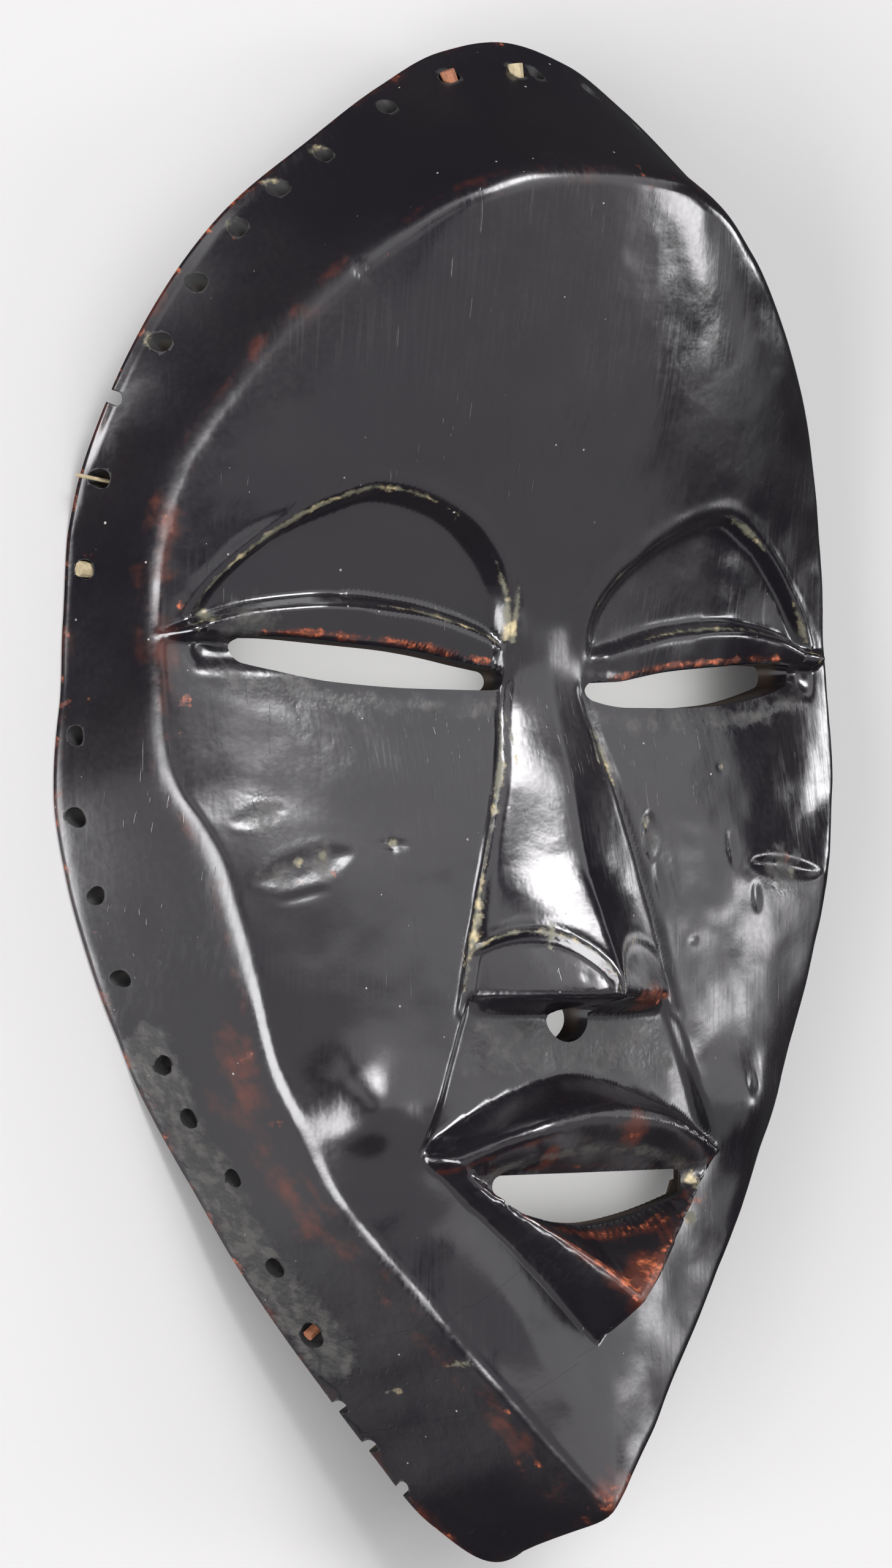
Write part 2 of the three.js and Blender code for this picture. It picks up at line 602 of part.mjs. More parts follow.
const mask = new THREE.Mesh(wooden_mask(), dark_wood);
mask.name = 'wooden_mask';

const group = new THREE.Group();
group.add(mask);
group.add(stub('reed_stub', reed, reed_stub));
group.add(stub('pale_sliver', pale_fibre, pale_sliver));
group.add(stub('side_plug', pale_fibre, { ...peg, hole: rim_holes[9] }));
group.add(stub('top_peg_left', reed, { ...peg, hole: rim_holes[1] }));
group.add(stub('top_peg_right', pale_fibre, { ...peg, hole: rim_holes[0] }));

export default group;
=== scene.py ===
# %% [markdown]
# # A carved face mask in dark wood
#
# The mask is one piece of wood, carved with an adze and a knife, blackened and polished by long use.
# It lies on the back of its rim with its face up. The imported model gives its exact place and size.
# This lesson carves the same form again on a fine grid, so that edges can be worn round and cuts can be
# crisp, then cuts its openings, works out where the patina is worn, and lights it like a studio.

import bpy
import numpy as np
from mathutils import Matrix, Vector


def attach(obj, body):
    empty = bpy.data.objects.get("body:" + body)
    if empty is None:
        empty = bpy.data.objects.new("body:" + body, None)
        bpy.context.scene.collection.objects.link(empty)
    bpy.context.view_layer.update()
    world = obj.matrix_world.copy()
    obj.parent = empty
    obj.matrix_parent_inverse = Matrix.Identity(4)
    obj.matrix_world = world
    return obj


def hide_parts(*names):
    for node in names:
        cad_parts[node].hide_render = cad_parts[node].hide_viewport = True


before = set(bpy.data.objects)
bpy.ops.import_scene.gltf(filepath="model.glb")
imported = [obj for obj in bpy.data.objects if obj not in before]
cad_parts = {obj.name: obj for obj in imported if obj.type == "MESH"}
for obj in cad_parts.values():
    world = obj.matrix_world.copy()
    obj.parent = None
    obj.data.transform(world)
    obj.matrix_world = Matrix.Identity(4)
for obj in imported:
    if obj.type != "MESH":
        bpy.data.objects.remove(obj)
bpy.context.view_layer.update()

# %% [markdown]
# ## Sizes
#
# All lengths are in millimetres until a mesh is made. The stations are the same as in the solid, so the
# fine surface lies on the solid's own surface. Angles go round the mask from the top of the head.

# %% Stations of the outlines
WALL = 8.0
RIM_LAND = 8.0
FLANGE_DIP = 1.2
EDGE_WORN = 2.0

RIM_RADII = [(0, 118.5), (6, 116.6), (12, 112.3), (20, 106.8), (30, 102.1), (40, 96), (50, 88.8), (60, 81.4),
             (70, 76), (80, 73.2), (90, 73), (100, 72), (110, 71.5), (120, 72), (130, 74.4), (140, 78.3),
             (150, 85.1), (160, 94.3), (168, 104.8), (174, 114.6), (180, 120.5)]
RIM_RISES = [(0, 15.3), (20, 14.6), (30, 12.8), (40, 10), (50, 5.2), (57, 1.2), (62, 0), (124, 0), (130, 0.8),
             (140, 2.7), (150, 5.2), (160, 7.9), (168, 10.6), (180, 14.2)]
FACE_EDGE = [(0, 95.2, 47), (8, 95.2, 46), (14, 94.6, 42.5), (22, 91.5, 36.9), (32, 86.8, 29.9),
             (42, 82.6, 23.4), (52, 78.6, 17.8), (60, 74.8, 15.7), (67, 71, 15.6), (75, 67.9, 16.5),
             (82, 66.4, 17.2), (88, 64.8, 18.5), (95, 61.4, 22.6), (103, 59.8, 25.2), (112, 60.2, 25.6),
             (120, 62, 25.3), (130, 65.5, 24.6), (140, 70.1, 25.5), (148, 74.7, 27.9), (156, 79.2, 31.9),
             (164, 86.3, 35.6), (170, 93.5, 38.7), (175, 101.5, 41.8), (180, 110.8, 45.5)]
EDGE_RADII = [(angle, radius) for angle, radius, _ in FACE_EDGE]
EDGE_RISES = [(angle, z) for angle, _, z in FACE_EDGE]

MIDDLE_LINE = [(-110.8, 45.5), (-100, 43.5), (-84, 40.5), (-57, 37), (-45, 35.5), (-30, 34), (0, 31),
               (18, 27), (26, 28), (40, 32.5), (55, 38), (72, 42.5), (86, 45.5), (95.2, 47)]
FULLNESS = [(-113.8, 1.6), (-90, 1.8), (-57, 2.6), (-20, 3.2), (10, 2.8), (26, 2.3), (50, 2.2), (99, 2.2)]
CHIN_RIDGE = [(-111, 0.12), (-99.5, 0.33), (-81, 0.52), (-74, 0.55), (-66, 0.57), (-60, 0.6)]
# The chin's ridge lies nearer to the middle line on the right, and a small share of the fall is inside it
RIGHT_KEEL = 0.62
INNER_FALL = 0.12
# Each mound on the cheeks: a, y, spread and height
CHEEK_MOUNDS = [(36, -47, 8.4, 1.6), (36.5, -49, 6.3, 1.9)]


# %% A smooth curve through stations
def through(stations, place, level_ends=False):
    """Value of a smooth curve through (place, value) stations. In each gap it is a cubic, whose slope at a
    station is the harmonic mean of the slopes beside it, so it never overshoots a station."""
    at, value = np.array(stations, float).T
    slope = np.diff(value) / np.diff(at)
    tangent = np.zeros_like(value)
    same_way = slope[:-1] * slope[1:] > 0
    total = np.where(same_way, slope[:-1] + slope[1:], 1)
    tangent[1:-1] = np.where(same_way, 2 * slope[:-1] * slope[1:] / total, 0)
    if not level_ends:
        tangent[[0, -1]] = slope[[0, -1]]
    place = np.clip(place, at[0], at[-1])
    i = np.clip(np.searchsorted(at, place, side="right") - 1, 0, len(at) - 2)
    step = at[i + 1] - at[i]
    t = (place - at[i]) / step
    start = (2 * t**3 - 3 * t**2 + 1) * value[i] + (t**3 - 2 * t**2 + t) * step * tangent[i]
    end = (3 * t**2 - 2 * t**3) * value[i + 1] + (t**3 - t**2) * step * tangent[i + 1]
    return start + end


def smooth(start, end, value):
    """0 before start, 1 after end, and an S-shaped cubic between them."""
    t = np.clip((value - start) / (end - start), 0, 1)
    return t * t * (3 - 2 * t)


def bump(distance, width):
    """A bell: 1 at distance 0, about a third of it at the width, and nothing far away."""
    return np.exp(-((distance / width) ** 2))


def rim_radius(angle):
    """Distance of the rim from the middle of the mask. It's level at the head and the chin."""
    return through(RIM_RADII, angle, True)


def rim_rise(angle):
    """Height of the rim's back over the floor, level at the head and the chin too."""
    return through(RIM_RISES, angle, True)


def edge_radius(angle):
    """Distance of the face's edge from the middle of the mask."""
    return through(EDGE_RADII, angle)


def edge_rise(angle):
    """Height of the face's edge over the floor."""
    return through(EDGE_RISES, angle)


walk = np.linspace(0, 180, 721)
edge_walk_a = edge_radius(walk) * np.sin(np.radians(walk))
edge_walk_y = edge_radius(walk) * np.cos(np.radians(walk))
print("the face's edge reaches", round(edge_walk_a.max(), 1), "mm to each side")

# %% [markdown]
# ## The face as a height over a plane
#
# Seen from above, every place of the carved front has one height, so the whole front is a function of two
# numbers: a, the distance from the middle line, and y. Each feature adds its own small change to a plain
# shield-shaped face, in the order in which a carver would rough them out.

# %% The face without its features
def face_base(a, y, keel=1):
    """A shield: the middle line's height falls to the edge's height with a power of the share of the
    half-width, which keeps the cheeks full. At the chin it falls in two planes with a ridge between, and
    keel draws that ridge nearer to the middle line. Two bells make the mound low on each cheek."""
    edge_a = np.interp(-y, -edge_walk_y, edge_walk_a, left=0.001, right=0.001)
    edge_z = np.interp(-y, -edge_walk_y, edge_rise(walk))
    share = np.minimum(a / np.maximum(edge_a, 0.001), 1)
    middle = through(MIDDLE_LINE, y)
    ridge = through(CHIN_RIDGE, y) * keel
    past_ridge = np.maximum(share - ridge, 0) / (1 - ridge)
    plane = INNER_FALL * np.minimum(share / ridge, 1) ** 2 + (1 - INNER_FALL) * past_ridge**1.1
    at_chin = 1 - smooth(-78, -64, y)
    fall = share ** through(FULLNESS, y) * (1 - at_chin) + plane * at_chin
    mounds = 0
    for mound_a, mound_y, spread, rise in CHEEK_MOUNDS:
        mounds = mounds + rise * bump(np.hypot(a - mound_a, y - mound_y), spread)
    return middle + (edge_z - middle) * fall + mounds


print("the plain face is", face_base(np.array([0.0]), np.array([0.0]))[0].round(1), "mm high in its middle")

# %% [markdown]
# Each eye lies in a shallow socket under an arched brow. The lid is a swelling above a long slit, with a
# crease round it. They could be pressed into the mesh by hand, but as functions of the same two numbers
# they stay sharp at any grid size, and the right eye can sit a little lower, as it does on the mask.

# %% Brows, sockets and lids
SLIT_TOP = [(6, 18.6), (12, 19.6), (25, 21.9), (36, 22.9), (47, 23.7), (57, 23.6), (60, 23.5)]
SLIT_BOTTOM = [(6, 16.3), (12, 16), (25, 16.1), (38, 16.9), (48, 18.7), (57, 21.2), (60, 22.2)]
LID_CREASE = [(6, 19.5), (9, 23.5), (16, 26.5), (26, 28.8), (38, 29.8), (50, 28.6), (58, 26.3), (64, 24)]
SLIT_ENDS = {-1: (8, 53), 1: (8, 55)}
BROW = dict(a=33.8, y=26, half_width=26.3, height=20.8, inner=1.8, outer=1.4)
EYE_DROP = 2.3
SOCKET_DEPTH = 2.0
BROW_LIP = 0.4
LID_RISE = 3.4
LID_CREST, LID_FOOT = 0.76, 1.12
UNDER_EYE_DIP = 0.2


def level_with_left(x, y):
    """The right eye and brow sit 2.3 mm lower than the left ones. This gives the y at which the same
    feature lies on the left: y plus the drop, which fades out towards mouth, forehead and edge."""
    drop = EYE_DROP * smooth(0, 16, x) * (1 - smooth(59, 66, x))
    return y + drop * smooth(-45, -10, y) * (1 - smooth(48, 75, y))


def inside_brow(a, y):
    """How far a place is inside the brow arc, in mm: a rounded arch of two powers, one for each side."""
    side = (a - BROW["a"]) / BROW["half_width"]
    power = np.where(side < 0, BROW["inner"], BROW["outer"])
    rise = np.maximum(y - BROW["y"], 0) / BROW["height"]
    return (1 - (np.abs(side) ** power + rise**power) ** (1 / power)) * BROW["height"]


def sockets(a, y):
    """The socket is cut 2 mm deep inside the brow arc, which leaves a thin raised lip along the arc."""
    inside = inside_brow(a, y)
    above_slit = smooth(17.5, 21.5, y)
    lip = BROW_LIP * bump(inside + 0.6, 1.1) * smooth(21, 29, y)
    return -SOCKET_DEPTH * smooth(-0.2, 2.3, inside) * above_slit + lip


def eyelids(a, y):
    """The lid swells from the slit to a crest below its crease, and drops into the crease as an S-shaped
    cubic. It fades out at both corners of the eye."""
    top, crease = through(SLIT_TOP, a), through(LID_CREASE, a)
    share = (y - top) / np.maximum(crease - top, 0.5)
    front = 1 - 0.35 * np.minimum(np.maximum(0.8 - share, 0) / 0.8, 1.3) ** 1.5
    crest = front * (1 - smooth(LID_CREST, LID_FOOT, share))
    lid = LID_RISE * crest * smooth(7.5, 11, a) * (1 - smooth(60, 65, a))
    return np.where(share < -0.05, 0, lid)


def under_eyes(a, y):
    """Below the slit a strip 3 mm broad is set back a little, and comes forward again over 5 mm."""
    top, bottom = through(SLIT_TOP, a), through(SLIT_BOTTOM, a)
    dip = UNDER_EYE_DIP * (1 - smooth(3, 8, bottom - y)) * smooth(5, 9, a) * (1 - smooth(58, 64, a))
    return np.where(y > (top + bottom) / 2, 0, -dip)


slit_height = through(SLIT_TOP, 30) - through(SLIT_BOTTOM, 30)
print("the left slit is", SLIT_ENDS[-1][1] - SLIT_ENDS[-1][0], "mm long and", slit_height.round(1), "mm high")

# %% [markdown]
# The nose is a long wedge with a crisp foot and two wings, each marked off by an arched cut. Its two sides
# were not carved alike: the left one is full, and the right one is a plane, which mirrors less light.

# %% Nose
NOSE_WIDTHS = [(-34, 20.4), (-22, 17.3), (-10, 14.3), (7, 9.4), (20, 6.5)]
NOSE_RIDGE = [(-34, 15.2), (-31, 14.5), (-20, 9.5), (-10, 5.2), (7, 2.2), (20, 0.6), (26, 0)]
NOSE_FRONT, NOSE_BACK = -31.2, -33.9
NOSE_TOP = 26
NOSE_CREASE = 0.8
WING = dict(radius=10.5, y=-31.6, step=1.6, lip=0.35, right=0.3)


def wing_arch(a):
    """The line round a nose wing is a half circle that starts at the middle line."""
    side = np.minimum(np.abs(a - WING["radius"]) / WING["radius"], 1)
    return WING["y"] + WING["radius"] * np.sqrt(1 - side**2)


def nose(x, y):
    """A long wedge: its ridge rises towards the tip, its left side is full and its right side plane, its
    wings are stepped back below an arched line, the right one less, and a crease runs down each side."""
    a, on_right = np.abs(x), x > 0
    half_width = through(NOSE_WIDTHS, y)
    share = np.minimum(a / half_width, 1)
    wedge = through(NOSE_RIDGE, y) * (1 - share ** np.where(on_right, 1.08, 1.3))
    strength, below = np.where(on_right, WING["right"], 1), wing_arch(a) - y
    wedge = wedge - WING["step"] * strength * smooth(-0.2, 1.6, below) * smooth(1, 0.93, share)
    wedge = wedge + WING["lip"] * strength * bump(below + 0.7, 0.9) * (share < 1)
    wedge = np.where((a < half_width) & (y < NOSE_TOP), wedge, 0)
    wedge = wedge * smooth(NOSE_BACK, NOSE_FRONT, y)
    crease = NOSE_CREASE * bump(a - half_width - 0.4, 0.8) * smooth(20, 17, y) * smooth(-35, -33, y)
    return wedge - crease


print("the nose is", (2 * through(NOSE_WIDTHS, NOSE_FRONT)).round(1), "mm broad at its foot")

# %% [markdown]
# The lips stand out as two thin blades with a funnel between them, so their edges are the sharpest on the
# mask. Four curves give the outlines and the edges, and straight or slightly bent walls join them.

# %% Lips and mouth
LIP_CORNER, LIP_EDGE_CORNER = 28, 25
UPPER_EDGE_RISES = [(0, 45.2), (12, 44.6), (19, 42.2), (25, 38.6), (28, 36.4)]
LOWER_EDGE_RISES = [(0, 53), (4, 51.4), (12.5, 46.1), (20, 41.5), (25, 38.4), (28, 36.4)]
SLOT = dict(half_width=18, top=-58.2, corner=1.5, bottom_end=-62.2, bottom=-66.5, y=-61)
MOUTH_FLOOR = 38
LIP_SET_BACK = 1.8


def upper_outline(a):
    """Top of the upper lip: an arch that falls 11 mm from its middle to the corner."""
    return -43.8 - 11 * (np.minimum(a, LIP_CORNER) / LIP_CORNER) ** 1.7


def lower_outline(a):
    """Foot of the lower lip: nearly a straight line up from the tip to the corner."""
    return -84 + 29.2 * (np.minimum(a, LIP_CORNER) / LIP_CORNER) ** 0.95


def lower_outline_a(y):
    """The same line the other way round: its a at a height y."""
    return LIP_CORNER * np.clip((y + 84) / 29.2, 0, 1) ** (1 / 0.95)


def upper_edge(a):
    """Edge of the upper lip, an arch inside the lip's outline."""
    return -49.2 - 6.6 * (np.minimum(a, LIP_EDGE_CORNER) / LIP_EDGE_CORNER) ** 1.8


def lower_edge(a):
    """Edge of the lower lip, nearly straight from its tip to the corner."""
    return -77.2 + 21.2 * (np.minimum(a, LIP_EDGE_CORNER) / LIP_EDGE_CORNER) ** 0.97


def lower_edge_a(y):
    """The same edge the other way round: its a at a height y."""
    return LIP_EDGE_CORNER * np.clip((y + 77.2) / 21.2, 0, 1) ** (1 / 0.97)


def slot_bottom(a):
    """Lower side of the mouth's slot, which sags between its ends."""
    share = np.minimum(a / SLOT["half_width"], 1)
    return SLOT["bottom"] + (SLOT["bottom_end"] - SLOT["bottom"]) * share**1.6


def fold_at(y):
    """The fold runs straight from the nose wing to the corner of the mouth."""
    return 20.4 + (y + 34) * (LIP_CORNER - 20.4) / (-54.8 + 34)


def lip_zone(a, y):
    """Between nose and lips the face is set back inside the fold."""
    inside = (y < NOSE_FRONT) & (y > upper_outline(a) - 0.1)
    return np.where(inside, -LIP_SET_BACK * smooth(-0.4, 1.8, fold_at(y) - a), 0)


def way(start, end, y, up):
    """Share of the way from one curve to the next, 0 to 1, going up (up is 1) or down (up is -1)."""
    return np.clip(up * (y - start) / np.maximum(up * (end - start), 0.8), 0, 1)


def mouth(a, y, face, height):
    """Each lip rises from its outline to a sharp edge, and from the edge the mouth runs in as a funnel
    down to the slot."""
    top, bottom = upper_outline(a), lower_outline(a)
    upper, lower = upper_edge(a), lower_edge(a)
    upper_z, lower_z = through(UPPER_EDGE_RISES, a), through(LOWER_EDGE_RISES, a)
    root = face - LIP_SET_BACK
    upper_lip = root + (upper_z - root) * np.sin(way(top, upper, y, -1) * np.pi / 2) ** 0.9
    lower_lip = face + (lower_z - face) * way(bottom, lower, y, 1) ** 0.75
    roof = upper_z + (MOUTH_FLOOR - upper_z) * way(upper, SLOT["top"], y, -1) ** 1.2
    floor = lower_z + (MOUTH_FLOOR - lower_z) * way(lower, slot_bottom(a), y, 1)
    funnel = np.where(y > SLOT["y"], roof, floor)
    lips = np.where(y > upper, upper_lip, np.where(y < lower, lower_lip, funnel))
    return np.where((a < LIP_CORNER) & (y < top) & (y > bottom), lips, height)


lips_height = upper_outline(0) - lower_outline(0)
print("the lips are", 2 * LIP_CORNER, "mm broad and", round(lips_height, 1), "mm high")

# %% [markdown]
# The cheeks carry cuts like leaves and small crosses, and dents from use. The whole face also waves a
# little, as hand-cut wood does. Both are real height, so that they show in the outline of a highlight.

# %% Marks of the knife and of use
# Each cut: x and y of its middle, length, width, depth, turn of its length from x, share that is flat
BURR = 0.12
CUTS = [
    (-45.8, -11.2, 17, 5.4, 0.5, 17, 0.4),
    (-46.5, -15.6, 9, 1.8, 0.35, 15, 0.2),
    (-52.5, -3.6, 9, 3.2, 0.25, 17, 0.3),
    (-31.2, -7.9, 7, 1.5, 0.55, 0, 0.1),
    (-31.6, -7.9, 6.5, 0.8, 0.5, 97, 0.1),
    (33.8, -8.3, 7, 1.4, 0.55, 94, 0.1),
    (33.6, -8.8, 5, 0.5, 0.3, 3, 0.1),
    (46.5, -11.4, 18.5, 3.4, 0.75, -6, 0.3),
    (38.8, -16, 5.5, 2.4, 0.4, 96, 0.1),
    (21.3, -12.5, 9.5, 0.7, 0.3, 96, 0.1),
    (19.3, -15, 6, 0.6, 0.2, 104, 0.1),
    (17, -6.4, 8.5, 3.8, 0.6, 88, 0.4),
    (18.1, -14, 9, 1.6, 0.4, 98, 0.2),
    (35.5, -45.3, 3.2, 2.6, 0.4, 60, 0.2),
    (24.7, -22.8, 1.6, 1.2, 0.3, 0, 0.1),
    (33.7, 4.4, 1.8, 1.6, 0.35, 0, 0.2),
    (-39.7, 79.4, 6, 1.6, 0.7, 125, 0.2),
    (1.5, -12, 5, 1, 0.3, 10, 0.1),
    (-4.2, -28, 2, 1, 0.3, 80, 0.1),
    (44, -63, 5, 2, 0.3, 70, 0.1),
    (-54.8, 22.6, 6, 2.2, 0.9, -8, 0.3),
]


def direction_of(turn):
    """A direction in the plane, one long, turned from x."""
    return np.cos(np.radians(turn)), np.sin(np.radians(turn))


def cut_marks(x, y):
    """Each cut is a groove with a lens for its outline: it deepens evenly from the outline to a flat
    bottom, and the wood beside it stands up a little as a burr."""
    change = 0
    for middle_x, middle_y, length, width, depth, turn, flat in CUTS:
        turn_x, turn_y = direction_of(turn)
        along = ((x - middle_x) * turn_x + (y - middle_y) * turn_y) / (length / 2)
        across = ((y - middle_y) * turn_x - (x - middle_x) * turn_y) / (width / 2)
        lens = 1 - np.abs(along) ** 2.5 - np.abs(across)
        change = change - depth * np.clip(lens / (1 - flat), 0, 1) + BURR * depth * bump(lens + 0.2, 0.2)
    return change


# Each wave: turn in degrees, length from crest to crest and height in mm
WAVES = [(20, 24, 0.11), (76, 18, 0.08), (131, 13, 0.055), (165, 9, 0.035), (48, 6.5, 0.018),
         (104, 4.6, 0.009)]


def hand_cut(x, y):
    """Low waves where the knife went and hands rubbed: sines in several directions, each bent by a longer
    sine across it, so that they never line up."""
    change = 0
    for i, (turn, length, height) in enumerate(WAVES):
        turn_x, turn_y = direction_of(turn)
        along, across = x * turn_x + y * turn_y, y * turn_x - x * turn_y
        bend = 1.6 * np.sin(across * 2 * np.pi / (2.3 * length) + 2.1 * i)
        change = change + height * np.sin(along * 2 * np.pi / length + bend + 1.7 * i)
    return change


print("there are", len(CUTS), "cuts and dents and", len(WAVES), "waves")

# %% The whole front
def front_height(x, y):
    """The face with all its features inside the face's edge, and outside it the flange, which runs from
    the edge to the rim with a slight hollow. The edge between them is worn round: a parabola joins both
    sides over 2 mm. The knife's waves are calmer on nose, forehead, rim and below the left eye."""
    a = np.abs(x)
    angle, radius = np.degrees(np.arctan2(a, y)), np.hypot(a, y)
    from_edge = radius - edge_radius(angle)
    share = np.clip(from_edge / (rim_radius(angle) - edge_radius(angle)), 0, 1)
    flange = edge_rise(angle) + (rim_rise(angle) - edge_rise(angle)) * share
    flange = flange - FLANGE_DIP * np.sin(np.pi * share)
    plain = face_base(a, y, np.where(x > 0, RIGHT_KEEL, 1))
    level = level_with_left(x, y)
    face = plain + sockets(a, level) + eyelids(a, level) + under_eyes(a, level) + nose(x, level)
    face = mouth(a, y, plain, face + lip_zone(a, y))
    on_nose = smooth(1.1, 0.9, a / through(NOSE_WIDTHS, level)) * smooth(26, 20, y) * smooth(-36, -33, y)
    calm = smooth(1, 0.8, share) * (1 - 0.6 * on_nose) * (1 - 0.5 * smooth(40, 60, y))
    calm = calm * (1 - 0.85 * bump(np.hypot(x + 46, y - 1), 17))
    height = np.where(from_edge > 0, flange, face) + cut_marks(x, y) + calm * hand_cut(x, y)
    worn = np.interp(angle, walk, edge_turn) * np.maximum(EDGE_WORN - np.abs(from_edge), 0) ** 2
    return height + worn / (4 * EDGE_WORN)


SLOPE_REACH = 2
inner_share = 1 - SLOPE_REACH / edge_radius(walk)
inner_rise = face_base(edge_walk_a * inner_share, edge_walk_y * inner_share)
face_slope = (edge_rise(walk) - inner_rise) / SLOPE_REACH
flange_run = rim_radius(walk) - edge_radius(walk)
flange_slope = (rim_rise(walk) - edge_rise(walk) - FLANGE_DIP * np.pi) / flange_run
edge_turn = flange_slope - face_slope
print("the slope changes at the face's edge by", edge_turn.max().round(2), "to", edge_turn.min().round(2))

# %% [markdown]
# ## A grid that follows the outline
#
# A square grid is bent onto the mask so that each ring of the square becomes a ring round the mask. There
# is no pole, the cells stay nearly square, and one ring lies exactly on the face's edge. Grid points close
# to a lip edge, the foot of the nose or the line round a nose wing are moved onto it, so that the edge
# comes out as a clean line.

# %% Bend a square grid onto the mask
FRONT_CELLS = 264
BACK_CELLS = 132
FLANGE_FROM = 0.88
LAND_FROM = 0.93
# How the front's and the back's grid end inside the rim, and how thick the rim's edge is at the front
FRONT_INSET, BACK_INSET, RIM_THICK = 0.35, 0.9, 0.85


def bent_grid(cells):
    """Square grid points as a share of the way out, 0 to 1, and a turn in degrees from the top, -180 to
    180. The share is the larger of the two square coordinates, the turn follows the smaller one."""
    line = np.linspace(-1, 1, cells + 1)
    u, v = np.meshgrid(line, line)
    share = np.maximum(np.abs(u), np.abs(v))
    safe = np.where(share > 0, share, 1)
    wide = np.abs(u) > np.abs(v)
    ratio = np.where(wide, v, u) / safe * 45
    turn = np.where(wide, 90 * np.sign(u) - ratio * np.sign(u), np.where(v > 0, ratio, 180 - ratio))
    return share, (turn + 180) % 360 - 180


def grid_faces(cells):
    """Four-cornered faces over the grid, wound so that they look up."""
    number = np.arange((cells + 1) ** 2).reshape(cells + 1, cells + 1)
    corners = [number[:-1, :-1], number[:-1, 1:], number[1:, 1:], number[1:, :-1]]
    return np.stack([corner.ravel() for corner in corners], axis=1)


def grid_border(cells):
    """Numbers of the points round the grid's border, once round, seen from above anticlockwise."""
    number = np.arange((cells + 1) ** 2).reshape(cells + 1, cells + 1)
    sides = [number[0, :-1], number[:-1, -1], number[-1, :0:-1], number[:0:-1, 0]]
    return np.concatenate(sides)


def level_line(value):
    """A curve that has the same value everywhere."""
    return lambda place: np.full_like(place, value)


def snap(moving, still, curve, lowest, highest, reach=0.3):
    """Points nearer to a curve than the reach are moved onto it, where the still coordinate is between
    the lowest and the highest."""
    target = curve(still)
    close = (np.abs(moving - target) < reach) & (still >= lowest) & (still <= highest)
    return np.where(close, target, moving)


# Each pair: the y of an even row, and the y to which it is drawn
GATHERED = [(-110, -110), (-92, -86), (-9.5, -20), (14.5, 12), (59.5, 48), (96, 96)]


def gather(y, share):
    """Draws grid rows together where the eyes, the foot of the nose and the mouth are. The shift fades
    with the cube of the share, so the ring on the face's edge stays where it is."""
    at, wanted = np.array(GATHERED, float).T
    shift = np.interp(y, at, wanted) - y
    return y + shift * (1 - np.clip(share / FLANGE_FROM, 0, 1) ** 3)


def front_points():
    """The rings inside the face's edge are shares of it, and the rings outside go on to the rim."""
    share, turn = bent_grid(FRONT_CELLS)
    angle = np.abs(turn)
    inner, outer = edge_radius(angle), rim_radius(angle) - FRONT_INSET
    beyond = (share - FLANGE_FROM) / (1 - FLANGE_FROM)
    radius = np.where(beyond > 0, inner + (outer - inner) * beyond, inner * share / FLANGE_FROM)
    x, y = radius * np.sin(np.radians(turn)), radius * np.cos(np.radians(turn))
    y = gather(y, share)
    a, side = np.abs(x), np.where(x < 0, -1, 1)
    drop = level_with_left(a * side, y) - y
    y = y + drop
    a = snap(a, y, lambda y: through(NOSE_WIDTHS, y) + 0.4, NOSE_FRONT + 0.5, 19, 0.27)
    y = snap(y, a, wing_arch, 4.5, 16.5, 0.36)
    y = y - drop
    y = snap(y, a, upper_outline, 0, 24)
    y = snap(y, a, upper_edge, 0, 21)
    y = snap(y, a, level_line(SLOT["top"]), 0, 20)
    a = snap(a, y, lower_edge_a, -77.2, -57)
    a = snap(a, y, lower_outline_a, -84, -56)
    y = snap(y, a, level_line(NOSE_FRONT), 0, 19.6)
    y = snap(y, a, level_line(NOSE_BACK), 0, 20.3)
    return a * side, y


def worn_height(x, y, reach=0.5):
    """The mean of the height over a small rosette of twelve places round each point: the sharp edges that
    a knife leaves are worn round over this reach."""
    total = 0
    for share, count in ((0.5, 4), (1.0, 8)):
        for turn in np.arange(count) * 2 * np.pi / count + share:
            total = total + front_height(x + reach * share * np.cos(turn), y + reach * share * np.sin(turn))
    return total / 12


front_x, front_y = front_points()
front_z = worn_height(front_x, front_y)
print("the front has", front_x.size, "points and rises to", front_z.max().round(1), "mm")

# %% [markdown]
# ## The hollow back
#
# The back is gouged out to the same wall all over, with a flat land round the rim to rest on. The adze
# leaves shallow scoops in rows, which is how such a back looks. It is a coarser grid, closed onto the
# front by a narrow rounded band: the thin edge of the rim.

# %% The hollow
SCOOP = dict(width=9, length=13, depth=0.9)
NOSE_GOUGE = dict(y=-13, half_width=8, half_length=18, depth=4.5)


def scoops(x, y):
    """Adze marks: shallow bowls in staggered rows. A number from 0 to 1 for each bowl, the fraction of a
    large sine, puts it a little off its row."""
    row = np.floor(y / SCOOP["length"])
    place = x / SCOOP["width"] + 0.5 * (row % 2)
    column = np.floor(place)
    stir = np.sin(row * 12.9 + column * 78.2) * 43.7
    stir = stir - np.floor(stir)
    across = place - column - 0.5 + 0.2 * (stir - 0.5)
    along = y / SCOOP["length"] - row - 0.5 - 0.25 * (stir - 0.5)
    return SCOOP["depth"] * (across**2 + along**2)


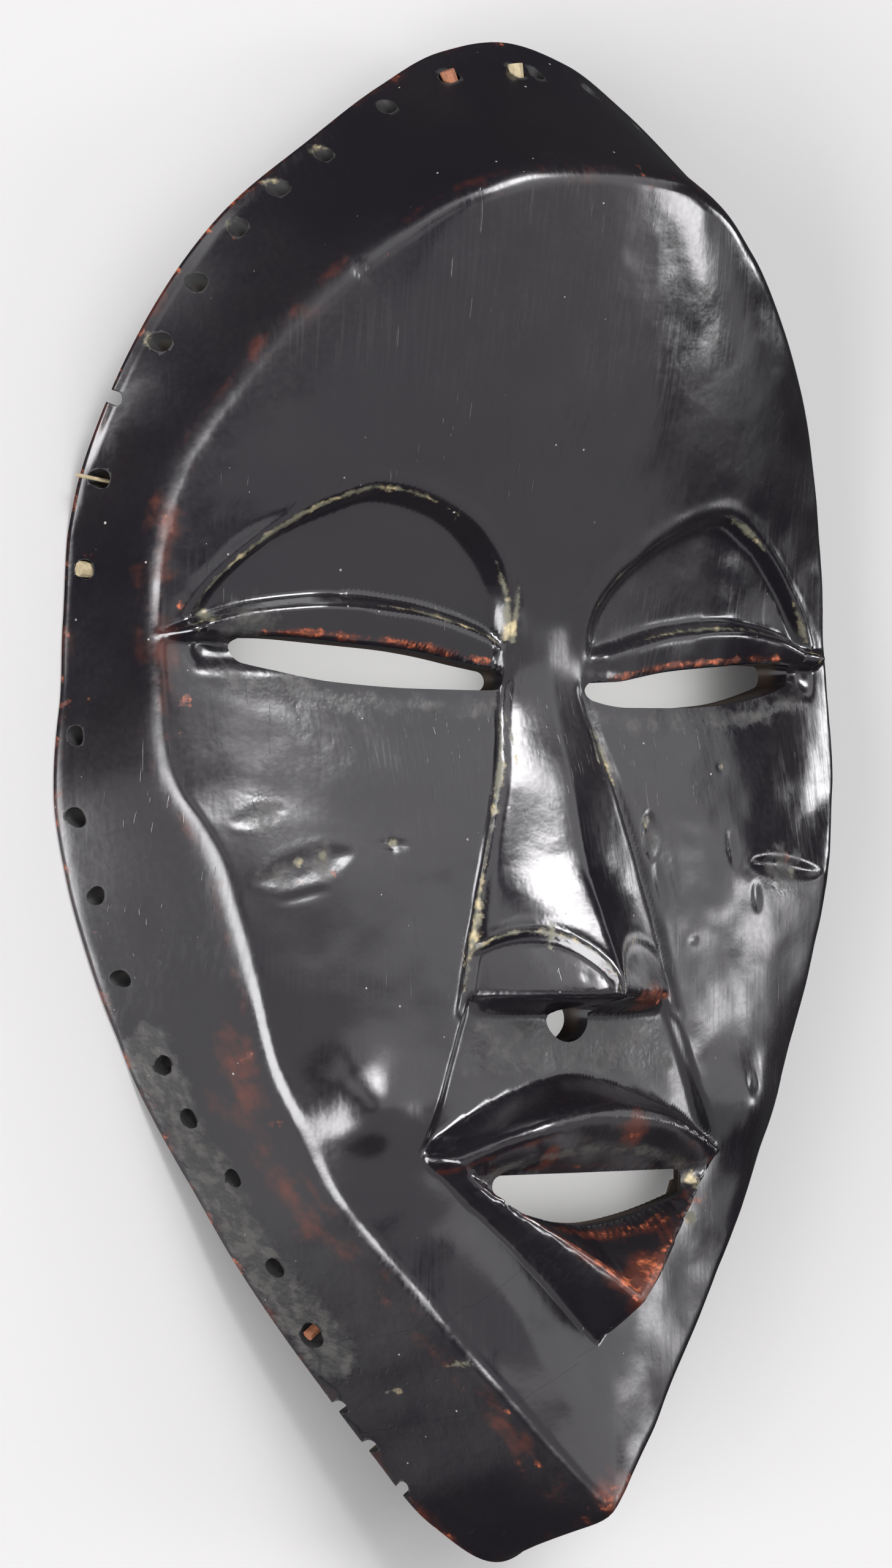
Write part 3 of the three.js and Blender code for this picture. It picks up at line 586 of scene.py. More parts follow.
def back_height(x, y):
    """The wall's thickness under the plain face, a slope down to the land, and the land's own height. An
    egg-shaped gouge behind the nose goes deeper."""
    a = np.abs(x)
    angle, radius = np.degrees(np.arctan2(a, y)), np.hypot(a, y)
    rim, edge = rim_radius(angle), edge_radius(angle)
    slope = (edge_rise(angle) - rim_rise(angle)) / (rim - edge)
    land = radius - (rim - RIM_LAND)
    wall_side = rim_rise(angle) - slope * land
    inset = (edge - RIM_LAND + WALL / slope) / edge
    under_face = face_base(a / inset, y / inset) - WALL
    hollow = np.minimum(wall_side, under_face) - scoops(x, y) * smooth(2, -6, land)
    across, along = x / NOSE_GOUGE["half_width"], (y - NOSE_GOUGE["y"]) / NOSE_GOUGE["half_length"]
    hollow = hollow + NOSE_GOUGE["depth"] * np.sqrt(np.maximum(1 - across**2 - along**2, 0))
    return np.where(land > 0, rim_rise(angle), np.maximum(hollow, rim_rise(angle)))


def back_points():
    """Rings of equal share, with one ring on the inner border of the land."""
    share, turn = bent_grid(BACK_CELLS)
    angle = np.abs(turn)
    outer, inner = rim_radius(angle) - BACK_INSET, rim_radius(angle) - RIM_LAND
    beyond = (share - LAND_FROM) / (1 - LAND_FROM)
    radius = np.where(beyond > 0, inner + (outer - inner) * beyond, inner * share / LAND_FROM)
    return radius * np.sin(np.radians(turn)), radius * np.cos(np.radians(turn))


back_x, back_y = back_points()
back_z = back_height(back_x, back_y)
print("the hollow is", back_z.max().round(1), "mm deep at its deepest")

# %% Join front, rim band and back
front_border = grid_border(FRONT_CELLS)
back_border = grid_border(BACK_CELLS)
border_turn = np.arctan2(front_x.ravel()[front_border], front_y.ravel()[front_border])
border_angle = np.degrees(np.abs(border_turn))


def rim_ring(inward, lift):
    """A ring of points along the rim, moved inward and lifted."""
    radius, rise = rim_radius(border_angle) - inward, rim_rise(border_angle) + lift
    return np.stack([radius * np.sin(border_turn), radius * np.cos(border_turn), rise], 1)


front_z.ravel()[front_border] = rim_rise(border_angle) + RIM_THICK
band = [rim_ring(inward, lift) for inward, lift in ((0.04, 0.5), (0.02, 0.25), (0.25, 0.03))]
points = [np.stack([front_x.ravel(), front_y.ravel(), front_z.ravel()], 1)] + band
points.append(np.stack([back_x.ravel(), back_y.ravel(), back_z.ravel()], 1))
starts = np.cumsum([0] + [len(p) for p in points])
points = np.concatenate(points)


def band_faces(ring, next_ring):
    """Four-cornered faces between two rings of the same length."""
    return np.stack([ring, next_ring, np.roll(next_ring, -1), np.roll(ring, -1)], 1)


rings = [front_border] + [starts[i + 1] + np.arange(len(front_border)) for i in range(len(band))]
quads = [grid_faces(FRONT_CELLS)]
quads += [band_faces(rings[i], rings[i + 1]) for i in range(len(band))]
quads.append(grid_faces(BACK_CELLS)[:, ::-1] + starts[-2])
outer, inner = rings[-1].reshape(-1, 2), back_border + starts[-2]
next_outer, next_inner = np.roll(outer[:, 0], -1), np.roll(inner, -1)
seam = np.concatenate([np.stack([outer[:, 0], inner, outer[:, 1]], 1),
                       np.stack([outer[:, 1], inner, next_inner], 1),
                       np.stack([outer[:, 1], next_inner, next_outer], 1)])
print("the band joins", len(front_border), "points to", len(back_border))


def linked(name, data):
    """A new object in the scene that shows a mesh, a lamp or a camera."""
    made = bpy.data.objects.new(name, data)
    bpy.context.scene.collection.objects.link(made)
    return made


def mesh_object(name, points_mm, faces):
    """A mesh object from points in millimetres and lists of faces."""
    mesh = bpy.data.meshes.new(name)
    mesh.from_pydata((np.asarray(points_mm) * 0.001).tolist(), [], faces)
    mesh.validate()
    return linked(name, mesh)


faces = [face for part in quads for face in part.tolist()] + seam.tolist()
blank = mesh_object("mask_blank", points, faces)
print("the uncut mask has", len(blank.data.polygons), "faces")

# %% [markdown]
# ## Openings
#
# Eye slits, mouth, the hole under the nose and the small holes round the rim go right through. Each is a
# closed cutter, and one Boolean takes them all out of the blank at once. The small holes were burnt or
# drilled by hand, so no two are quite the same.

# %% Cutters
def closed(ends):
    """Points and faces of a closed piece between two outlines with the same number of points."""
    count = len(ends[0])
    around = [[i, (i + 1) % count, count + (i + 1) % count, count + i] for i in range(count)]
    return np.concatenate(ends), around + [list(range(count))[::-1], list(range(count, 2 * count))]


def prism(outline, flare=0, middle=0, level=30, low=2, high=70):
    """A cutter along z with the outline of (x, y) points, anticlockwise. Below its level the outline
    spreads from a middle x, and above it draws in, by the flare per mm of height."""
    ends = []
    for z in (low, high):
        spread_x = middle + (outline[:, 0] - middle) * (1 + flare * (level - z))
        ends.append(np.column_stack([spread_x, outline[:, 1], np.full(len(outline), z)]))
    return closed(ends)


def tube(centre, direction, radii, length):
    """A cutter along a level direction whose cross-section has one radius for each of its corners."""
    turn = np.linspace(0, 2 * np.pi, len(radii), endpoint=False)
    side = np.array([-direction[1], direction[0], 0])
    ring = np.outer(radii * np.cos(turn), side) + np.outer(radii * np.sin(turn), [0, 0, 1])
    return closed([centre + ring - direction * length / 2, centre + ring + direction * length / 2])


SLIT_ROUND = 1.4
SLIT_FLARE, SLIT_LEVEL = 0.0055, 27
MOUTH_FLARE = 0.02
SEPTUM_HOLE = dict(y=-35.4, half_width=3.9, half_height=2.8)


def eye_cutter(side):
    """The outline runs along the lower curve and back along the upper one. Towards each end both curves
    draw together as a quarter circle does, which rounds the ends. The left slit widens inwards."""
    start, end = SLIT_ENDS[side]
    a = start + (end - start) * (1 - np.cos(np.linspace(0, np.pi, 70))) / 2
    from_end = np.minimum(a - start, end - a)
    open_share = np.sqrt(np.clip(1 - (1 - np.clip(from_end / SLIT_ROUND, 0, 1)) ** 2, 0.01, 1))
    middle = (through(SLIT_TOP, a) + through(SLIT_BOTTOM, a)) / 2
    half = (through(SLIT_TOP, a) - through(SLIT_BOTTOM, a)) / 2 * open_share
    lower, upper = np.column_stack([a, middle - half]), np.column_stack([a, middle + half])[::-1]
    outline = np.concatenate([lower, upper])
    if side < 0:
        return prism((outline * [-1, 1])[::-1], flare=SLIT_FLARE, middle=-end, level=SLIT_LEVEL)
    drop = level_with_left(outline[:, 0], outline[:, 1]) - outline[:, 1]
    return prism(outline - np.column_stack([drop * 0, drop]))


def mouth_cutter():
    """The slot's lower side, and its upper side with rounded corners. It widens inwards to the right."""
    x = np.linspace(-SLOT["half_width"], SLOT["half_width"], 40)
    lower = np.column_stack([x, slot_bottom(np.abs(x))])
    turn = np.linspace(0, np.pi / 2, 6)
    r, w, top = SLOT["corner"], SLOT["half_width"], SLOT["top"]
    corner = np.column_stack([w - r + r * np.cos(turn), top - r + r * np.sin(turn)])
    outline = np.concatenate([lower, corner, (corner * [-1, 1])[::-1]])
    return prism(outline, flare=MOUTH_FLARE, middle=-w, level=MOUTH_FLOOR)


def septum_cutter():
    """A torn hole: an oval with a point up and to the right."""
    turn = np.linspace(0, 2 * np.pi, 28, endpoint=False)
    reach = 1 + 0.18 * bump(np.angle(np.exp(1j * (turn - 0.9))), 0.4) + 0.05 * np.sin(3 * turn)
    hole_x = SEPTUM_HOLE["half_width"] * reach * np.cos(turn)
    hole_y = SEPTUM_HOLE["y"] + SEPTUM_HOLE["half_height"] * reach * np.sin(turn)
    return prism(np.column_stack([hole_x, hole_y]))


# Each hole: its angle from the top and its distance from the rim along the flange
RIM_HOLES = [(1, 8), (7, 6), (13, 4.5), (20, 4), (25, 3.5), (30, 3.5), (36, 3.5), (42, 3.5), (55, 3.5),
             (64, 3.5), (83, 3.5), (93, 3.5), (103, 4.5), (114, 4.5), (126, 6.5), (133, 6.5), (141, 8.5),
             (151, 6.5)]
TORN_HOLE = (158, 5)
RIM_NOTCHES = [(48, 0.6), (164, 0.8), (167.5, 0.8), (171, 0.8)]
HOLE_RADII, TORN_RADIUS, NOTCH_RADIUS = (1.42, 1.62), 2.05, 1.3


def hole_place(side, place):
    """Centre of a rim hole on the flange's slope, and the level direction in which it looks out."""
    angle, from_rim = place
    turn = np.radians(angle)
    rim, edge = rim_radius(angle), edge_radius(angle)
    foot = np.array([side * rim * np.sin(turn), rim * np.cos(turn), rim_rise(angle)])
    slope = np.array([side * edge * np.sin(turn), edge * np.cos(turn), edge_rise(angle)]) - foot
    near = np.clip([angle - 2, angle + 2], 0, 180)
    a, y = rim_radius(near) * np.sin(np.radians(near)), rim_radius(near) * np.cos(np.radians(near))
    outward = np.array([side * (y[0] - y[1]), a[1] - a[0], 0])
    return foot + slope / np.linalg.norm(slope) * from_rim, outward / np.linalg.norm(outward)


stir = np.random.default_rng(7)
corner_turn = np.linspace(0, 2 * np.pi, 18, endpoint=False)


def uneven(radius, two_lobes, three_lobes):
    """Radii round a hole: the radius, changed by two lobes at a random turn and by three more."""
    lobes = two_lobes * np.sin(2 * corner_turn + stir.uniform(0, 6)) + three_lobes * np.sin(3 * corner_turn)
    return radius * (1 + lobes)


cutters = [eye_cutter(-1), eye_cutter(1), mouth_cutter(), septum_cutter()]
for side in (-1, 1):
    for place in RIM_HOLES + [TORN_HOLE]:
        centre, outward = hole_place(side, place)
        torn = place == TORN_HOLE and side < 0
        radius = TORN_RADIUS if torn else stir.uniform(*HOLE_RADII)
        cutters.append(tube(centre, outward, uneven(radius, 0.1, 0.05), 30))
for place in RIM_NOTCHES:
    centre, outward = hole_place(-1, place)
    cutters.append(tube(centre, outward, uneven(NOTCH_RADIUS, 0.15, 0.1), 6))


def merged(parts):
    """One list of points and one of faces from several closed pieces."""
    starts = np.cumsum([0] + [len(p) for p, _ in parts])
    faces = [[i + start for i in face] for start, (_, part) in zip(starts, parts) for face in part]
    return np.concatenate([p for p, _ in parts]), faces


cutter = mesh_object("openings", *merged(cutters))
for holder in (blank, cutter):
    holder.data.materials.append(bpy.data.materials.new(holder.name))
print("there are", len(cutters), "openings")

# %% Cut the openings
boolean = blank.modifiers.new("openings", "BOOLEAN")
boolean.operation = "DIFFERENCE"
boolean.solver = "MANIFOLD"
boolean.object = cutter
boolean.material_mode = "TRANSFER"
bpy.context.view_layer.update()
depsgraph = bpy.context.evaluated_depsgraph_get()
cut_mesh = bpy.data.meshes.new_from_object(blank.evaluated_get(depsgraph))
bpy.data.objects.remove(cutter)
bpy.data.objects.remove(blank)
cut_mesh.name = "carved_mask"
mask = linked("carved_mask", cut_mesh)
print("the cut mask has", len(cut_mesh.polygons), "faces")
from_cutter = np.zeros(len(cut_mesh.polygons), np.int32)
cut_mesh.polygons.foreach_get("material_index", from_cutter)
cut_mesh.polygons.foreach_set("material_index", np.zeros_like(from_cutter))
print("the openings have", int((from_cutter > 0).sum()), "walls")

# %% Keep the borders of the openings crisp
cut_mesh.shade_smooth()
corner_edge = np.empty(len(cut_mesh.loops), np.int32)
cut_mesh.loops.foreach_get("edge_index", corner_edge)
face_sizes = np.empty(len(cut_mesh.polygons), np.int32)
cut_mesh.polygons.foreach_get("loop_total", face_sizes)
wall_sides = np.bincount(corner_edge, np.repeat(from_cutter > 0, face_sizes), len(cut_mesh.edges))
sharp = wall_sides == 1
layer = cut_mesh.attributes.get("sharp_edge") or cut_mesh.attributes.new("sharp_edge", "BOOLEAN", "EDGE")
layer.data.foreach_set("value", sharp)
print("sharp edges round the openings:", int(sharp.sum()))

# %% [markdown]
# ## Where the finish changes
#
# The patina is worn through to red-brown wood where the mask was touched and rubbed: on lip edges, the
# nose tip, the chin and the jaw. Old pale clay stays in the brow arcs, on the lids and beside the
# nose. Each of these is a number at every point of the mesh, worked out from its distance in millimetres
# to the line where it lies: above 0 inside the place, 1 in its middle. The shader breaks it up with noise.

# %% Distances for the finish
where = np.empty(len(cut_mesh.vertices) * 3)
cut_mesh.vertices.foreach_get("co", where)
x, y, z = where.reshape(-1, 3).T * 1000
a = np.abs(x)
angle, radius = np.degrees(np.arctan2(a, y)), np.hypot(a, y)
on_back = (z - np.maximum(back_height(x, y), 0) < 0.4) & (radius < rim_radius(angle) - 0.5)
from_edge = radius - edge_radius(angle)


# A number so far below 0 that no noise brings the finish out
NOWHERE = -3


def band_of(distance, width):
    """1 on a line, falling evenly through 0 at its width."""
    return 1 - np.abs(distance) / width


def paint(name, values, on_front=True):
    """Stores one number for every point of the mask under a name that a shader can read. What belongs to
    the front only is nowhere on the back."""
    values = np.where(on_front & on_back, NOWHERE, np.maximum(values, NOWHERE))
    layer = cut_mesh.attributes.new(name, "FLOAT", "POINT")
    layer.data.foreach_set("value", np.ascontiguousarray(values, dtype=np.float32))
    print(name, "runs from", round(float(values.min()), 2), "to", round(float(values.max()), 2))


def spots(places):
    """The strongest of several round spots (x, y, radius): 1 in the middle of each, falling evenly through
    0 at its radius."""
    near = [1 - np.hypot(x - spot_x, y - spot_y) / reach for spot_x, spot_y, reach in places]
    return np.maximum.reduce(near)


def strongest(*fields):
    """The largest of several numbers at every point."""
    return np.maximum.reduce(fields)


# %% Clay left in the fine lines
# The clay lies in lines hardly broader than a cell of the mesh. So the mesh carries each line as a
# distance in mm, which is smooth, and the shader draws the line from it.
level = level_with_left(x, y)
lid_top = through(SLIT_TOP, a)
lid_span = np.maximum(through(LID_CREASE, a) - lid_top, 0.5)
lid_share = (level - lid_top) / lid_span
fold_a = through(NOSE_WIDTHS, level)
LINE_REACH = 3
FINE_LINES = dict(
    brow_line=inside_brow(a, level) - 0.3,
    lid_line=(lid_share - 0.9) * lid_span,
    nose_line=a - fold_a - 0.4,
    wing_line=np.where((a < 20) & (level > -31), wing_arch(a) - level, LINE_REACH),
)
for name, distance in FINE_LINES.items():
    paint(name, np.clip(distance, -LINE_REACH, LINE_REACH), on_front=False)

inner_lid = smooth(7, 12, a) * smooth(58, 50, a)
beside_nose = smooth(-36, -31, y) * smooth(20, 12, y)
brow_spots = spots([(-44, 40, 17), (-10, 25, 8), (14, 30, 4), (40, 43, 5), (57, 27, 4)])
lid_spots = spots([(-20, 26, 15), (-58, 25, 5), (33, 25, 16)])
nose_spots = spots([(-13, 3, 9), (-17, -20, 9), (11, 6, 5)])
kept_clay = dict(
    brow_line=-0.5 - 3 * (level < 23) + 0.6 * brow_spots,
    lid_line=-0.8 - 3 * (1 - inner_lid) + 0.55 * lid_spots,
    nose_line=-0.55 - 4 * (1 - beside_nose) + 0.5 * nose_spots,
    wing_line=-0.45 + 0.2 * spots([(-8, -22, 8)]),
)
kept = [np.where(np.abs(FINE_LINES[name]) < 2.5, share, NOWHERE) for name, share in kept_clay.items()]
paint("clay_kept", np.where(from_edge < 0, strongest(*kept), NOWHERE))
in_holes = [(*hole_place(-1, place)[0][:2], 1.7) for place in RIM_HOLES[3:6] + RIM_HOLES[7:8]]
paint("clay_spots", spots(in_holes + [
    (-57, 26.7, 1.6), (33.7, 4.4, 1), (-21.2, -87, 1.2), (-24, -92, 0.8), (16.5, -4, 1.3), (22, -66, 2.2),
    (-47, -10.4, 1.1), (-43, -9.6, 1.2), (-31.2, -7.6, 1.1), (48, -12, 1.3), (19.5, -59.8, 2),
    (21.5, -62.5, 1.8)]))

# %% Wood worn bare, and the reddish edge of it
jaw_share = np.interp(-y, [20, 34, 44, 60, 76, 100], [-1.6, -0.4, -0.1, -0.4, -0.5, -0.5])
jaw = band_of(from_edge - 2, 3.2) + jaw_share - 3 * (x > 0)
temple_share = np.interp(y, [2, 8, 34, 50, 90], [-3, 0, 0, -0.35, -0.4])
temple = band_of(from_edge + 1.5, 5) - 0.35 - 3 * (x > 0) + temple_share
top_edge = band_of(from_edge - 0.5, 2.4) - 0.55 - 0.3 * (x > 20)
lip_place = (a < 26) & (y < -45) & (y > -84)
past_lower = y - lower_edge(a)
lip_top = 1.0 + 1.5 * bump(x - 1, 5)
lower_lip = band_of(past_lower - lip_top / 2, lip_top)
lower_lip = lower_lip + np.interp(x, [-24, -14, -4, 5, 10, 26], [-0.9, -0.05, 0.3, 0.3, -0.5, -0.6])
slot_lower = band_of(y - slot_bottom(a) + 1.3, 1.6) + np.interp(x, [-12, -6, 10, 18], [-1, -0.2, -0.05, -0.1])
slot_upper = band_of(y - SLOT["top"] - 1, 1.8) - 0.4 - (a > 21)
in_mouth = np.maximum(slot_lower, slot_upper)
upper_lip = band_of(y - upper_edge(a) + 1.6, 1.8) - 0.8
upper_lip = np.maximum(upper_lip, spots([(5, -50.8, 2.6), (5.5, -52.8, 2.4), (-9, -55, 2)]))
lid_edge = band_of((lid_share - 0.14) * lid_span, 1.2) - 0.1 - 3 * (1 - inner_lid)
nose_foot = band_of(level - NOSE_FRONT - 0.5, 2.4) - 0.7 - 3 * (a > 20.5) + 1.2 * spots([(13, -31, 8)])
chin = 0.9 - np.hypot(x - 2, y + 109) / 7
rim = band_of(radius - rim_radius(angle), 2.6) - 0.5 - 0.5 * (x > 0)
lips_tinge = np.where(lip_place, strongest(lower_lip + 0.3, in_mouth, upper_lip + 0.3), NOWHERE)
paint("tinge", strongest(jaw, temple, top_edge, chin + 0.2, rim, nose_foot + 0.3, lid_edge, lips_tinge))

worn_spots = spots([(-63, 41, 3), (-64, 34, 3), (-61.5, 28, 4), (-61.6, 13, 4), (-62, 9, 2), (-51, 71, 3),
                    (-36, 81, 2), (4.7, 94.3, 5), (-35, 101, 5), (-52.7, 86.5, 6), (-71, 35, 4),
                    (-72, 13.4, 4), (-51.6, -39.4, 3), (-48, -50, 3), (-14.8, -94, 3), (-9.3, -102, 3)])
cut_spots = spots([(-47, -13.6, 3.2), (-42, -11.5, 3), (16.8, -7, 1.6), (47, -10.2, 2.6), (-37, -12.5, 1.4),
                   (-2, -27, 1.8), (1, -82, 2)])
lips_wear = np.where(lip_place, strongest(lower_lip, in_mouth - 0.2, upper_lip - 0.2), NOWHERE)
paint("wear", strongest(lips_wear, lid_edge - 0.1, nose_foot, chin, rim - 0.1, jaw - 0.65,
                        worn_spots - 0.35, cut_spots - 0.25))

# %% Matte places, a crack, painted shade in the rim holes, and the back
share = from_edge / (rim_radius(angle) - edge_radius(angle))
low_left = smooth(114, 124, angle) * smooth(168, 160, angle) * (x < 0)
low_flange = band_of(share - 0.78, 0.3) * 1.4 - 3 * (1 - low_left)
below_slit = smooth(5, 9, a) * smooth(62, 56, a)
under_eye = band_of(through(SLIT_BOTTOM, a) - level - 2.5, 3.6) - 2 * (1 - below_slit)
above_lip = smooth(1, 4, fold_at(y) - a) * smooth(-33, -36, y) * smooth(-46, -42, y) - 0.45
in_cuts = spots([(-50, -12.5, 5), (-44, -10.5, 5), (46, -11.5, 7), (17, -8, 3.5), (-51, 25.5, 7),
                 (-52, -3.6, 5)])
ledge = band_of(y - upper_edge(a) + 5, 1.6) - 2 * ((a > 20) | (y > -50) | (y < -60))
paint("dull", strongest(low_flange, under_eye * 0.7, above_lip, in_cuts, ledge))

crack_start, crack_end = np.array([-33, -85.5]), np.array([-24.1, -99.5])
crack_length = np.hypot(*(crack_end - crack_start))
crack_way = (crack_end - crack_start) / crack_length
along = (x - crack_start[0]) * crack_way[0] + (y - crack_start[1]) * crack_way[1]
across = (x - crack_start[0]) * crack_way[1] - (y - crack_start[1]) * crack_way[0]
from_crack = np.clip(across + 0.35 * np.sin(along * 0.9), -LINE_REACH, LINE_REACH)
on_crack = (along > 0) & (along < crack_length)
paint("crack", np.where(on_crack, from_crack, LINE_REACH), on_front=False)

# Painted shade: the points on the walls of the small holes through the flange are marked here, and the shader
# paints them near black and rough, as the shade deep inside the holes.
painted_shade_walls = np.zeros(len(x))
loop_points = np.empty(len(cut_mesh.loops), np.int32)
cut_mesh.loops.foreach_get("vertex_index", loop_points)
painted_shade_walls[loop_points[np.repeat(from_cutter > 0, face_sizes)]] = 1
paint("painted_shade_walls", np.where(from_edge > 1, painted_shade_walls, 0), on_front=False)
paint("hollow", np.where(on_back, 1.0, 0.0), on_front=False)

# %% [markdown]
# ## Materials
#
# The patina is a dark wood with a thin glossy skin. Its colour hardly shows: what the eye reads is the
# gloss, its small unevenness, and the places where it is worn or dusty. So most of the work goes into
# roughness and bump, and colour is kept close to black.

# %% Helpers for nodes
def new_material(name):
    """A new material, its node tree and its shader."""
    material = bpy.data.materials.new(name)
    material.use_nodes = True
    tree = material.node_tree
    return material, tree, tree.nodes["Principled BSDF"]


def node(tree, kind, **values):
    """A node of a kind, with its settings, and its inputs by name or number after in_."""
    made = tree.nodes.new(kind)
    for key, value in values.items():
        if key.startswith("in_"):
            key = key[3:]
            made.inputs[int(key) if key.isdigit() else key.replace("_", " ")].default_value = value
        else:
            setattr(made, key, value)
    return made


def group(name, inputs, outputs):
    """An empty node group with its named sockets, and its two end nodes."""
    tree = bpy.data.node_groups.new(name, "ShaderNodeTree")
    for way, sockets in (("INPUT", inputs), ("OUTPUT", outputs)):
        for label, kind in sockets:
            tree.interface.new_socket(label, in_out=way, socket_type=kind)
    return tree, tree.nodes.new("NodeGroupInput"), tree.nodes.new("NodeGroupOutput")


def maths(tree, operation, first, second=None, third=None, clamp=False):
    """A Math node whose inputs are sockets or numbers."""
    made = tree.nodes.new("ShaderNodeMath")
    made.operation = operation
    made.use_clamp = clamp
    for i, value in enumerate((first, second, third)):
        if value is None:
            continue
        if isinstance(value, (int, float)):
            made.inputs[i].default_value = value
        else:
            tree.links.new(value, made.inputs[i])
    return made.outputs[0]


def mix_colour(tree, factor, first, second):
    """A Mix node for colours: sockets or (r, g, b) values."""
    made = tree.nodes.new("ShaderNodeMix")
    made.data_type = "RGBA"
    for i, value in ((0, factor), (6, first), (7, second)):
        if isinstance(value, bpy.types.NodeSocket):
            tree.links.new(value, made.inputs[i])
        else:
            made.inputs[i].default_value = value if i == 0 else (*value, 1)
    return made.outputs[2]


# %% Noise in millimetres
def noise(tree, size_mm, detail=3, rough=0.5, stretch=(1, 1, 1), shift=0, turn=0):
    """Noise over the object, whose blotches are about size_mm across, 0.5 in the mean."""
    place = node(tree, "ShaderNodeTexCoord").outputs["Object"]
    mapping = node(tree, "ShaderNodeMapping", in_Scale=stretch, in_Location=(shift, shift, 0),
                   in_Rotation=(0, 0, np.radians(turn)))
    tree.links.new(place, mapping.inputs["Vector"])
    scale = 1000 / size_mm / 2
    texture = node(tree, "ShaderNodeTexNoise", in_Scale=scale, in_Detail=detail, in_Roughness=rough)
    tree.links.new(mapping.outputs[0], texture.inputs["Vector"])
    return texture.outputs["Fac"]


def ramp(tree, value, start, end):
    """0 where a value is below start, 1 above end, and an S-shaped cubic between."""
    made = node(tree, "ShaderNodeMapRange", in_1=start, in_2=end, interpolation_type="SMOOTHSTEP")
    tree.links.new(value, made.inputs["Value"])
    return made.outputs["Result"]


def painted(tree, name):
    """The number that the mesh carries under a name."""
    return node(tree, "ShaderNodeAttribute", attribute_name=name).outputs["Fac"]


def broken(tree, value, size_mm, amount, start, end):
    """A mask from an even band, broken up by noise: 0 below start, 1 above end."""
    stirred = maths(tree, "SUBTRACT", noise(tree, size_mm, 3, 0.65), 0.5)
    return ramp(tree, maths(tree, "MULTIPLY_ADD", stirred, amount, value), start, end)


def fine_line(tree, name, half_width_mm):
    """A painted distance as a line: 1 in its middle, falling evenly through 0 at half its width."""
    off = maths(tree, "ABSOLUTE", painted(tree, name))
    return maths(tree, "MULTIPLY_ADD", off, -1 / half_width_mm, 1.0)


# %% Specks of dust, scratches and rubbing lines
def lines(tree, width_mm, turn, share):
    """Fine lines in one direction: noise drawn out eighty times as long as it is wide, cut at a level."""
    return ramp(tree, noise(tree, width_mm, 1, 0.4, (1, 0.012, 0.3), turn=turn), 1 - share, 1.04 - share)


def specks(tree, apart_mm, size):
    """Dots one cell of a Voronoi pattern apart, each with its own size, most of them too small to see."""
    place = node(tree, "ShaderNodeTexCoord").outputs["Object"]
    cells = node(tree, "ShaderNodeTexVoronoi", in_Scale=1000 / apart_mm)
    tree.links.new(place, cells.inputs["Vector"])
    own = node(tree, "ShaderNodeSeparateColor")
    tree.links.new(cells.outputs["Color"], own.inputs[0])
    reach = maths(tree, "MULTIPLY", maths(tree, "POWER", own.outputs[0], 4), size)
    return maths(tree, "LESS_THAN", cells.outputs["Distance"], reach)


def blotches(tree, size_mm, start, end, shift=0):
    """Soft-edged areas where noise of a size lies over a level."""
    return ramp(tree, noise(tree, size_mm, 2, 0.6, shift=shift), start, end)


# %% Masks of the patina
patina, tree, shader = new_material("patinated_wood")
links = tree.links
grain = noise(tree, 1.2, 2, 0.6, stretch=(1, 0.12, 1))
mottle = noise(tree, 14, 3, 0.55)
fine = noise(tree, 0.5, 1, 0.6)
worn = broken(tree, painted(tree, "wear"), 1.6, 3, 0.5, 0.95)
tinged = broken(tree, painted(tree, "tinge"), 3.2, 2.4, 0.25, 1.1)
line = maths(tree, "MAXIMUM", fine_line(tree, "brow_line", 0.85), fine_line(tree, "lid_line", 0.9))
line = maths(tree, "MAXIMUM", line, fine_line(tree, "nose_line", 1.4))
line = maths(tree, "MAXIMUM", line, fine_line(tree, "wing_line", 1.1))
line = maths(tree, "ADD", line, painted(tree, "clay_kept"))
line = maths(tree, "MAXIMUM", line, painted(tree, "clay_spots"))
clay = maths(tree, "MULTIPLY", broken(tree, line, 0.8, 1.9, 0.15, 0.95), 0.85)
matte = broken(tree, painted(tree, "dull"), 1.8, 1.6, 0.3, 0.9)
dust = maths(tree, "MULTIPLY", specks(tree, 2.6, 0.09), blotches(tree, 22, 0.42, 0.6, 0.3))
crack = maths(tree, "LESS_THAN", maths(tree, "ABSOLUTE", painted(tree, "crack")), 0.14)
# Painted shade inside the rim holes, on the walls marked above
hole_shade = ramp(tree, painted(tree, "painted_shade_walls"), 0.4, 0.9)
inside = ramp(tree, painted(tree, "hollow"), 0.2, 0.8)
print("the patina has", len(tree.nodes), "nodes for its masks")

# %% [markdown]
# The colours lie over each other like layers: black patina, then the reddish wood that shows
# through where it is thin, bare wood, matte dirt, painted shade inside the rim holes, clay and dust. A
# picture of wood could be wrapped round instead, but it would stretch on the flange and know nothing of the
# places that are worn.

# %% Colour of the patina
MOTTLED = dict(
    patina=((0.003, 0.0027, 0.0045), (0.008, 0.0066, 0.0075)),
    worn=((0.05, 0.011, 0.005), (0.28, 0.07, 0.026)),
    matte=((0.008, 0.0078, 0.0075), (0.036, 0.034, 0.029)),
    clay=((0.085, 0.082, 0.055), (0.36, 0.3, 0.17)),
    bare=((0.02, 0.013, 0.009), (0.045, 0.028, 0.018)),
)
PLAIN = dict(
    reddish=(0.055, 0.012, 0.006),
    # near black: painted shade on the walls of the rim holes
    hole_shade=(0.0022, 0.002, 0.002),
    dust=(0.2, 0.19, 0.17),
    crack=(0.001, 0.001, 0.001),
)
base = mix_colour(tree, mottle, *MOTTLED["patina"])
base = mix_colour(tree, maths(tree, "MULTIPLY", tinged, 0.65), base, PLAIN["reddish"])
worn_colour = mix_colour(tree, blotches(tree, 0.9, 0.46, 0.68, 0.5), *MOTTLED["worn"])
base = mix_colour(tree, worn, base, worn_colour)
